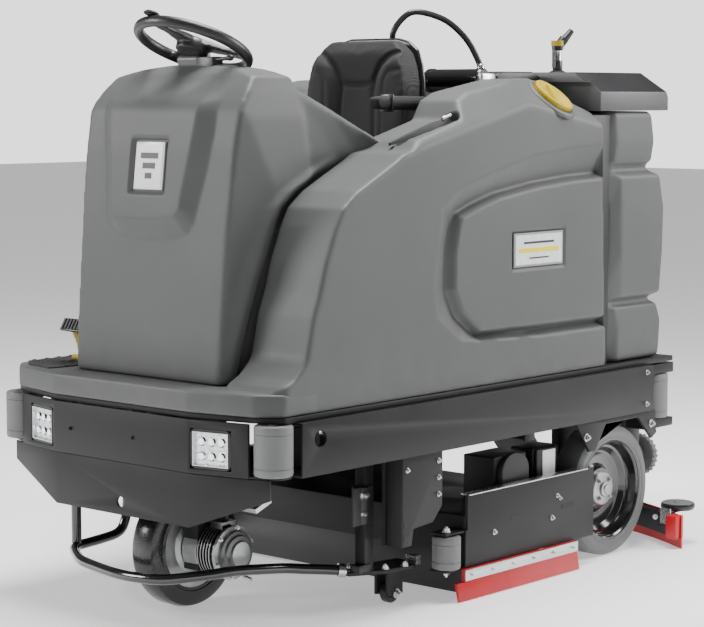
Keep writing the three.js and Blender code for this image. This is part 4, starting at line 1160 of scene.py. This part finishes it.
post = bmesh.new()
rod(post, Matrix.Translation((0.388, -0.455, 0.283)), 0.023, 0.098, segments=40)
bar(post, (0.372, 0.404), (-0.478, -0.430), (0.104, 0.124))
bar(post, (0.396, 0.404), (-0.500, -0.420), (0.232, 0.334))
rounded(post, 0.002, 2)
piece("foot_damper", post, dark_plastic_and_shade, "chassis")

fixings = bmesh.new()
for place, axis, radius in (((0.404, -0.462, 0.312), (1, 0, 0), 0.011),
                            ((0.404, -0.462, 0.262), (1, 0, 0), 0.008),
                            ((0.4125, -0.338, 0.029), (1, 0, 0), 0.010),
                            ((0.366, -0.470, 0.118), (0, -1, 0), 0.008),
                            ((0.436, -0.330, 0.106), (0, 0, 1), 0.008),
                            ((0.420, -0.392, 0.106), (0, 0, 1), 0.008),
                            ((-0.400, -0.738, 0.40), (0, 1, 0), 0.007)):
    bolt(fixings, place, axis, radius)
joined(fixings, turned([(0.0150, 0.0), (0.0185, 0.0), (0.0185, 0.020), (0.0150, 0.020), (0.0150, 0.0)],
                       (0.340, -0.492, 0.1075), (0.55, 0.8, -0.09), 40))
bar(fixings, (0.408, 0.446), (-0.296, -0.276), (0.104, 0.128))
piece("foot_fixings", fixings, bright_zinc, "chassis")
black_rubber = surfaced("black_rubber", (0.010, 0.010, 0.010), (0.026, 0.026, 0.026), 0.34, 300, 0.0003, 0.16)
caster = turned([(0.0, -0.014), (0.024, -0.014), (0.028, -0.009), (0.028, 0.009), (0.024, 0.014),
                 (0.0, 0.014)], (0.388, -0.338, 0.029), (1, 0, 0), 48)
piece("guard_caster", caster, black_rubber, "caster_wheel", ["caster_wheel"])

# ---- Front drive unit --------------------------------------------------------------------
# Steered drive wheel: a turntable carries a cast fork, with the gearbox and a finned brake
# motor bolted to its side. The tyre is solid black rubber on a cast aluminium rim.
DRIVE = Vector((0, -0.712, 0.165))


def cast_metal():
    finish = Finish("cast_aluminium", Metallic=0.9)
    sand, cloud = finish.blotch(340, 4), finish.blotch(12, 4)
    tone = finish.between(finish.range(cloud + 0.2 * sand, 0.4, 0.85), (0.34, 0.345, 0.35),
                          (0.60, 0.605, 0.61))
    return finish.dressed(tone, 0.26 + 0.3 * cloud, sand, 0.0005)


cast = cast_metal()
piece("fork_casting", rounded(merged("drive_fork"), 0.003), powder_black, "drive_unit",
      ["drive_fork"])
band = turned([(0.0, 0.0), (0.0615, 0.0), (0.0640, 0.002), (0.0640, 0.050), (0.0615, 0.052), (0.0, 0.052)],
              (0.0425, DRIVE.y, DRIVE.z), (1, 0, 0), 72)
piece("gearbox_band", band, cast, "drive_unit")

motor_profile = [(0.0, 0.0), (0.062, 0.0), (0.066, 0.004)]
for i in range(5):
    start = 0.010 + i * 0.0105
    motor_profile += [(0.066, start), (0.0705, start + 0.001), (0.0705, start + 0.0045),
                      (0.066, start + 0.0055)]
motor_profile += [(0.066, 0.066), (0.071, 0.068), (0.071, 0.077), (0.062, 0.079), (0.058, 0.082),
                  (0.058, 0.089), (0.050, 0.091), (0.047, 0.098), (0.036, 0.100), (0.033, 0.106),
                  (0.018, 0.108), (0.0, 0.1085)]
MOTOR_X, FINNED, FIN_FOOT = 0.0955, 0.066, 0.0700
motor = turned(motor_profile, (MOTOR_X, DRIVE.y, DRIVE.z), (1, 0, 0), 96)
for face in motor.faces:
    middle = face.calc_center_median()
    along, radius = middle.x - MOTOR_X, (middle - DRIVE).yz.length
    if along < FINNED:
        crown = radius >= FIN_FOOT and abs(face.normal.x) < 0.5
        face.material_index = 1 if crown else 0
    else:
        face.material_index = 2 if 0.080 < along < 0.106 else 1
bar(motor, (0.112, 0.158), about(DRIVE.y, 0.028), (DRIVE.z + 0.055, DRIVE.z + 0.082))
motor_bell = surfaced("motor_bell", (0.10, 0.102, 0.104), (0.17, 0.172, 0.174), 0.32, 300, 0.0004,
                      metallic=0.5)
piece("brake_motor", motor, [gloss_black, cast, motor_bell], "drive_unit", ["drive_motor"], 30)
studs = bmesh.new()
bolts_round(studs, (0.1725, DRIVE.y, DRIVE.z), 1, 0.066, 6, math.radians(20), 0.0052)
for angle in (-0.75, -2.3, 1.9):
    out = Vector((0, 0.078 * math.sin(angle + math.pi / 2), -0.078 * abs(math.cos(angle * 0.5 + 0.2))))
    rod(studs, pointing((0.165, *(DRIVE + out).yz), out + Vector((0.3, 0, 0))), 0.005, 0.030, segments=16)
piece("motor_studs", studs, bright_zinc, "drive_unit")

tyre = turned([(0.112, -0.048), (0.120, -0.046), (0.122, -0.048), (0.152, -0.048), (0.160, -0.043),
               (0.165, -0.030), (0.165, 0.014), (0.160, 0.027), (0.152, 0.032), (0.122, 0.032),
               (0.120, 0.030), (0.112, 0.032), (0.112, -0.048)], DRIVE, (1, 0, 0), 120)
tyre_rubber = surfaced("tyre_rubber", (0.007, 0.007, 0.007), (0.017, 0.017, 0.017), 0.24, 260, 0.0003, 0.16,
                       coat=0.2)
piece("drive_tyre", tyre, tyre_rubber, "front_wheel", ["front_tyre"])
rim = turned([(0.0, -0.033), (0.030, -0.034), (0.034, -0.028), (0.062, -0.026), (0.072, -0.040),
              (0.100, -0.044), (0.1115, -0.045), (0.1115, 0.029), (0.100, 0.028), (0.072, 0.026),
              (0.060, 0.035), (0.0, 0.035)], DRIVE, (1, 0, 0), 96)
bolts_round(rim, (-0.0265, DRIVE.y, DRIVE.z), -1, 0.048, 5, 0, 0.0075)
piece("drive_rim", rim, cast, "front_wheel", ["front_rim"])

# Two cables that drop from the floor tray to the drive motor's box.
loom = bmesh.new()
for shift in (0.0, 0.012):
    route = [(0.120 + shift, -0.700, 0.236), (0.118 + shift, -0.690, 0.300), (0.090 + shift, -0.660, 0.400),
             (0.060, -0.650, 0.520)]
    joined(loom, swept(through(route, 4), 0.0055, 4))
piece("motor_loom", loom, hose_rubber, "drive_unit")

# ---- Rear wheels -------------------------------------------------------------------------
# Grey solid tyres on deep-dished black rims, each with a bright hub held by four nuts.
centre = Vector((0, 0.558, 0.195))
for side, name in SIDES:
    tyre = turned([(0.148, 0.398), (0.158, 0.399), (0.162, 0.397), (0.180, 0.398), (0.190, 0.404),
                   (0.195, 0.416), (0.195, 0.470), (0.190, 0.482), (0.180, 0.488), (0.163, 0.4885),
                   (0.159, 0.486), (0.153, 0.488), (0.148, 0.486), (0.148, 0.398)], centre, (side, 0, 0),
                  128)
    piece("rear_tyre_ring_" + name, tyre, grey_rubber, "rear_wheel_" + name,
          ["rear_tyre_" + name])
    dish = turned([(0.0, 0.402), (0.1478, 0.402), (0.1478, 0.484), (0.143, 0.4845), (0.139, 0.480),
                   (0.136, 0.462), (0.131, 0.452), (0.124, 0.450), (0.112, 0.436), (0.104, 0.434),
                   (0.096, 0.430), (0.074, 0.428), (0.066, 0.432), (0.060, 0.446), (0.0, 0.446)], centre,
                  (side, 0, 0), 128)
    piece("rear_dish_" + name, dish, gloss_black, "rear_wheel_" + name, ["rear_rim_" + name],
          28)
    hub = turned([(0.0, 0.474), (0.012, 0.474), (0.014, 0.470), (0.022, 0.469), (0.024, 0.462),
                  (0.047, 0.459), (0.050, 0.455), (0.050, 0.445), (0.0, 0.445)], centre, (side, 0, 0), 64)
    bolts_round(hub, (side * 0.459, centre.y, centre.z), side, 0.036, 4, math.pi / 4, 0.007)
    piece("rear_hub_" + name, hub, cast, "rear_wheel_" + name)

# ---- Brush deck --------------------------------------------------------------------------
# Folded steel deck that hangs under the machine: a roof, a side plate with a bright top
# flange at each end, motor and control housings on top, and two roller brushes inside.
piece("deck_roof", rounded(merged("deck_housing"), 0.004, 3), powder_black, "deck", ["deck_housing"])
apron = blocks(0.0015, 2, ((-0.500, 0.500), (-0.160, -0.154), (0.010, 0.125)))
piece("deck_apron", apron, black_rubber, "deck")
housing = bmesh.new()
arch = [(0.113 + 0.063 * math.cos(math.radians(a)), 0.310 + 0.050 * math.sin(math.radians(a)))
        for a in range(15, 180, 15)]
for low, high in ((0.448, 0.470), (-0.470, -0.448)):
    slab(housing, [(0.050, 0.262), (0.176, 0.262), (0.176, 0.310), *arch, (0.050, 0.310)], "x", low, high)
bar(housing, (0.437, 0.452), (0.236, 0.330), (0.262, 0.350))
rounded(housing, 0.004, 3)
piece("deck_motor_caps", housing, dark_plastic_and_shade, "deck")
panel = blocks(0.0008, 1, ((0.4515, 0.4535), (0.262, 0.322), (0.270, 0.345)))
piece("deck_panel", panel, badge_white, "deck")

for side, name in SIDES:
    plate = rounded(merged("deck_side_" + name), 0.0018, 2)
    for y in (0.060, 0.300):
        liner = bar(plate, (-0.001, 0.0006), about(y, 0.030), about(0.190, 0.006))
        moved(plate, liner, Matrix.Translation((side * 0.516, 0, 0)), Matrix.Diagonal((side, 1, 1, 1)))
    piece("deck_plate_" + name, plate, powder_black, "deck", ["deck_side_" + name])
    trim = blocks(0.0012, 2, ((0.486, 0.5165), (-0.155, 0.398), (0.2805, 0.2845)))
    mirrored(trim, side)
    for y, z, radius in ((-0.045, 0.165, 0.006), (0.222, 0.165, 0.006), (0.248, 0.225, 0.005),
                         (0.262, 0.215, 0.004)):
        bolt(trim, (side * 0.516, y, z), (side, 0, 0), radius)
    for z, up in ((0.080, -1), (0.188, 1)):
        bolt(trim, (side * 0.490, -0.221, z), (0, 0, up), 0.009)
    piece("deck_trim_" + name, trim, bright_zinc, "deck")


def lip_rubber():
    """Bright red polyurethane, a little waxy, with streaks of scuffing."""
    finish = Finish("lip_rubber", Subsurface_Weight=0.05, Coat_Weight=0.1)
    cloud, scuff = finish.blotch(10, 4), finish.blotch(50, 5, (1, 0.2, 1))
    tone = finish.between(finish.range(cloud + 0.4 * scuff, 0.45, 1.1), (0.42, 0.002, 0.008),
                          (0.60, 0.005, 0.014))
    return finish.dressed(tone, 0.34 + 0.2 * scuff, finish.blotch(300, 2), 0.0003)


red_rubber = lip_rubber()
for side, name in SIDES:
    lip = merged("side_lip_" + name)
    for vert in lip.verts:
        vert.co.x += side * 0.0004
    piece("lip_blade_" + name, rounded(lip, 0.0010, 2), red_rubber, "side_lip_" + name,
          ["side_lip_" + name])
    strip = blocks(0.001, 2, ((0.5285, 0.5325), (-0.189, 0.329), (0.054, 0.084)))
    mirrored(strip, side)
    for i in range(6):
        bolt(strip, (side * 0.5322, -0.165 + i * 0.094, 0.069), (side, 0, 0), 0.0045)
    piece("lip_strip_" + name, strip, bright_zinc, "side_lip_" + name)


def bristle_finish():
    finish = Finish("bristle_red")
    tuft = finish.cells(160.0)
    return finish.dressed(finish.between(tuft, (0.50, 0.012, 0.022), (0.16, 0.004, 0.008)), 0.6 + 0.3 * tuft,
                          tuft, 0.004)


bristles = bristle_finish()
for name in ("brush_front", "brush_rear"):
    low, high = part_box(name)
    centre = (low + high) / 2
    half = (high.x - low.x) / 2
    profile = [(0.0, -half), (0.030, -half), (0.030, -half + 0.010), (0.046, -half + 0.011)]
    width = (2 * half - 0.028) / 24
    for i in range(24):
        start = -half + 0.014 + i * width
        profile += [(0.052, start), (0.0615, start + width * 0.25), (0.0618, start + width * 0.7),
                    (0.053, start + width * 0.98)]
    profile += [(0.046, half - 0.011), (0.030, half - 0.010), (0.030, half), (0.0, half)]
    roller = turned(profile, centre, (1, 0, 0), 48)
    piece("bristles_" + name, roller, bristles, name, [name])

# Cover of the deck's lift actuator: bent plate with a returned rear flange, bolted on at both
# edges, and two small tabs at the foot. The two arms in front of it hang from the chassis.
cover = rounded(merged("actuator_cover"), 0.003, 3, 20)
for z in (0.200, 0.235):
    bar(cover, (0.499, 0.5012), about(-0.405, 0.006), about(z, 0.006))
bar(cover, (0.436, 0.446), (-0.424, -0.410), (0.176, 0.414))
piece("lift_cover", cover, powder_black, "chassis", ["actuator_cover"])
bracket = bmesh.new()
for y, z in ((-0.268, 0.390), (-0.268, 0.345), (-0.268, 0.300), (-0.398, 0.380)):
    bolt(bracket, (0.500, y, z), (1, 0, 0), 0.0055)
bar(bracket, (0.452, 0.500), (-0.412, -0.256), (0.4168, 0.4180))
for x in (0.230, -0.230):
    arm = bar(bracket, (-0.040, 0.040), (-0.030, 0.030), (-0.006, 0.006))
    moved(bracket, arm, Matrix.Translation((x, -0.700, 0.300)), Matrix.Rotation(0.35, 4, "X"))
piece("lift_cover_bolts", bracket, bright_zinc, "chassis")

# ---- Squeegee ----------------------------------------------------------------------------
# Curved pick-up bar behind the rear wheels: a pressed carrier with red end fittings, two red
# blades, a lifting arm in the middle and a bumper roller over each end.
piece("squeegee_carrier", rounded(merged("squeegee_bar"), 0.0015), powder_black, "squeegee",
      ["squeegee_bar"])
piece("squeegee_lips", merged("squeegee_blade"), red_rubber, "squeegee", ["squeegee_blade"])
ends, trims = bmesh.new(), bmesh.new()
for side in (1, -1):
    end = bar(ends, (0.560, 0.598), (-0.004, 0.040), (0.030, 0.101))
    moved(ends, end, Matrix.Diagonal((side, 1, 1, 1)), Matrix.Translation((0, 0.742, 0)))
    bolt(trims, (side * 0.540, 0.800, 0.1026), (0, 0, 1), 0.007)
    for i in range(5):
        x = 0.10 + i * 0.098
        bolt(trims, (side * x, 0.9475 - 0.514 * x * x - 0.034, 0.080), (side * 0.35, -1, 0), 0.006)
    tab = bar(trims, (0.530, 0.566), (0.756, 0.760), (0.070, 0.118))
    if side < 0:
        moved(trims, tab, Matrix.Diagonal((-1, 1, 1, 1)))
bmesh.ops.recalc_face_normals(ends, faces=ends.faces)
piece("squeegee_ends", rounded(ends, 0.004, 2), red_rubber, "squeegee")
piece("squeegee_fixings", trims, bright_zinc, "squeegee")
for side, name in SIDES:
    low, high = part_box("squeegee_roller_" + name)
    centre = (low + high) / 2
    half = (high.z - low.z) / 2
    top = turned([(0.0, half), (0.012, half), (0.014, half - 0.003), (0.044, half - 0.002),
                  (0.049, half - 0.004), (0.052, half - 0.009), (0.052, -half + 0.009),
                  (0.048, -half + 0.002), (0.0, -half)], centre, (0, 0, 1), 72)
    for face in top.faces:
        face.material_index = 0 if face.calc_center_median().z > centre.z + 0.006 else 1
    piece("squeegee_bumper_" + name, top, [pale_rubber, black_rubber], "squeegee_roller_" + name,
          ["squeegee_roller_" + name])

# ---- Spray gun ---------------------------------------------------------------------------
# Hand spray gun parked upright in a socket on the lid: black body with a steel sleeve, a
# yellow collar, and a nozzle that leans to the rear.
GUN = Vector((0.166, 0.711, 0))
LEAN = (0.30, 0.55, 0.72)
gun = turned([(0.0, 1.4245), (0.013, 1.4245), (0.015, 1.430), (0.015, 1.458), (0.013, 1.462), (0.013, 1.492),
              (0.018, 1.496), (0.018, 1.506), (0.0, 1.506)], GUN, (0, 0, 1), 40)
for face in gun.faces:
    face.material_index = 1 if 1.464 < face.calc_center_median().z < 1.490 else 0
for material, place, axis, radius, depth, tip in ((2, (0, 0, 1.514), (0, 0, 1), 0.020, 0.016, None),
                                                  (2, (0.008, 0.012, 1.520), LEAN, 0.015, 0.018, None),
                                                  (0, (0.017, 0.028, 1.538), LEAN, 0.0125, 0.040, 0.009)):
    tinted(gun, material, rod, pointing(GUN + Vector(place), axis), radius, depth, tip)
tinted(gun, 0, bar, about(GUN.x, 0.005), (GUN.y - 0.022, GUN.y - 0.016), (1.440, 1.502))
piece("gun_body", gun, [soft_black, bright_zinc, yellow], "spray_gun", ["spray_gun"])
socket = turned([(0.0, 0.0), (0.026, 0.0), (0.026, 0.003), (0.018, 0.008), (0.0, 0.008)],
                GUN + Vector((0, 0, 1.4232)), (0, 0, 1), 40)
piece("gun_socket", socket, lid_plastic, "recovery_lid")
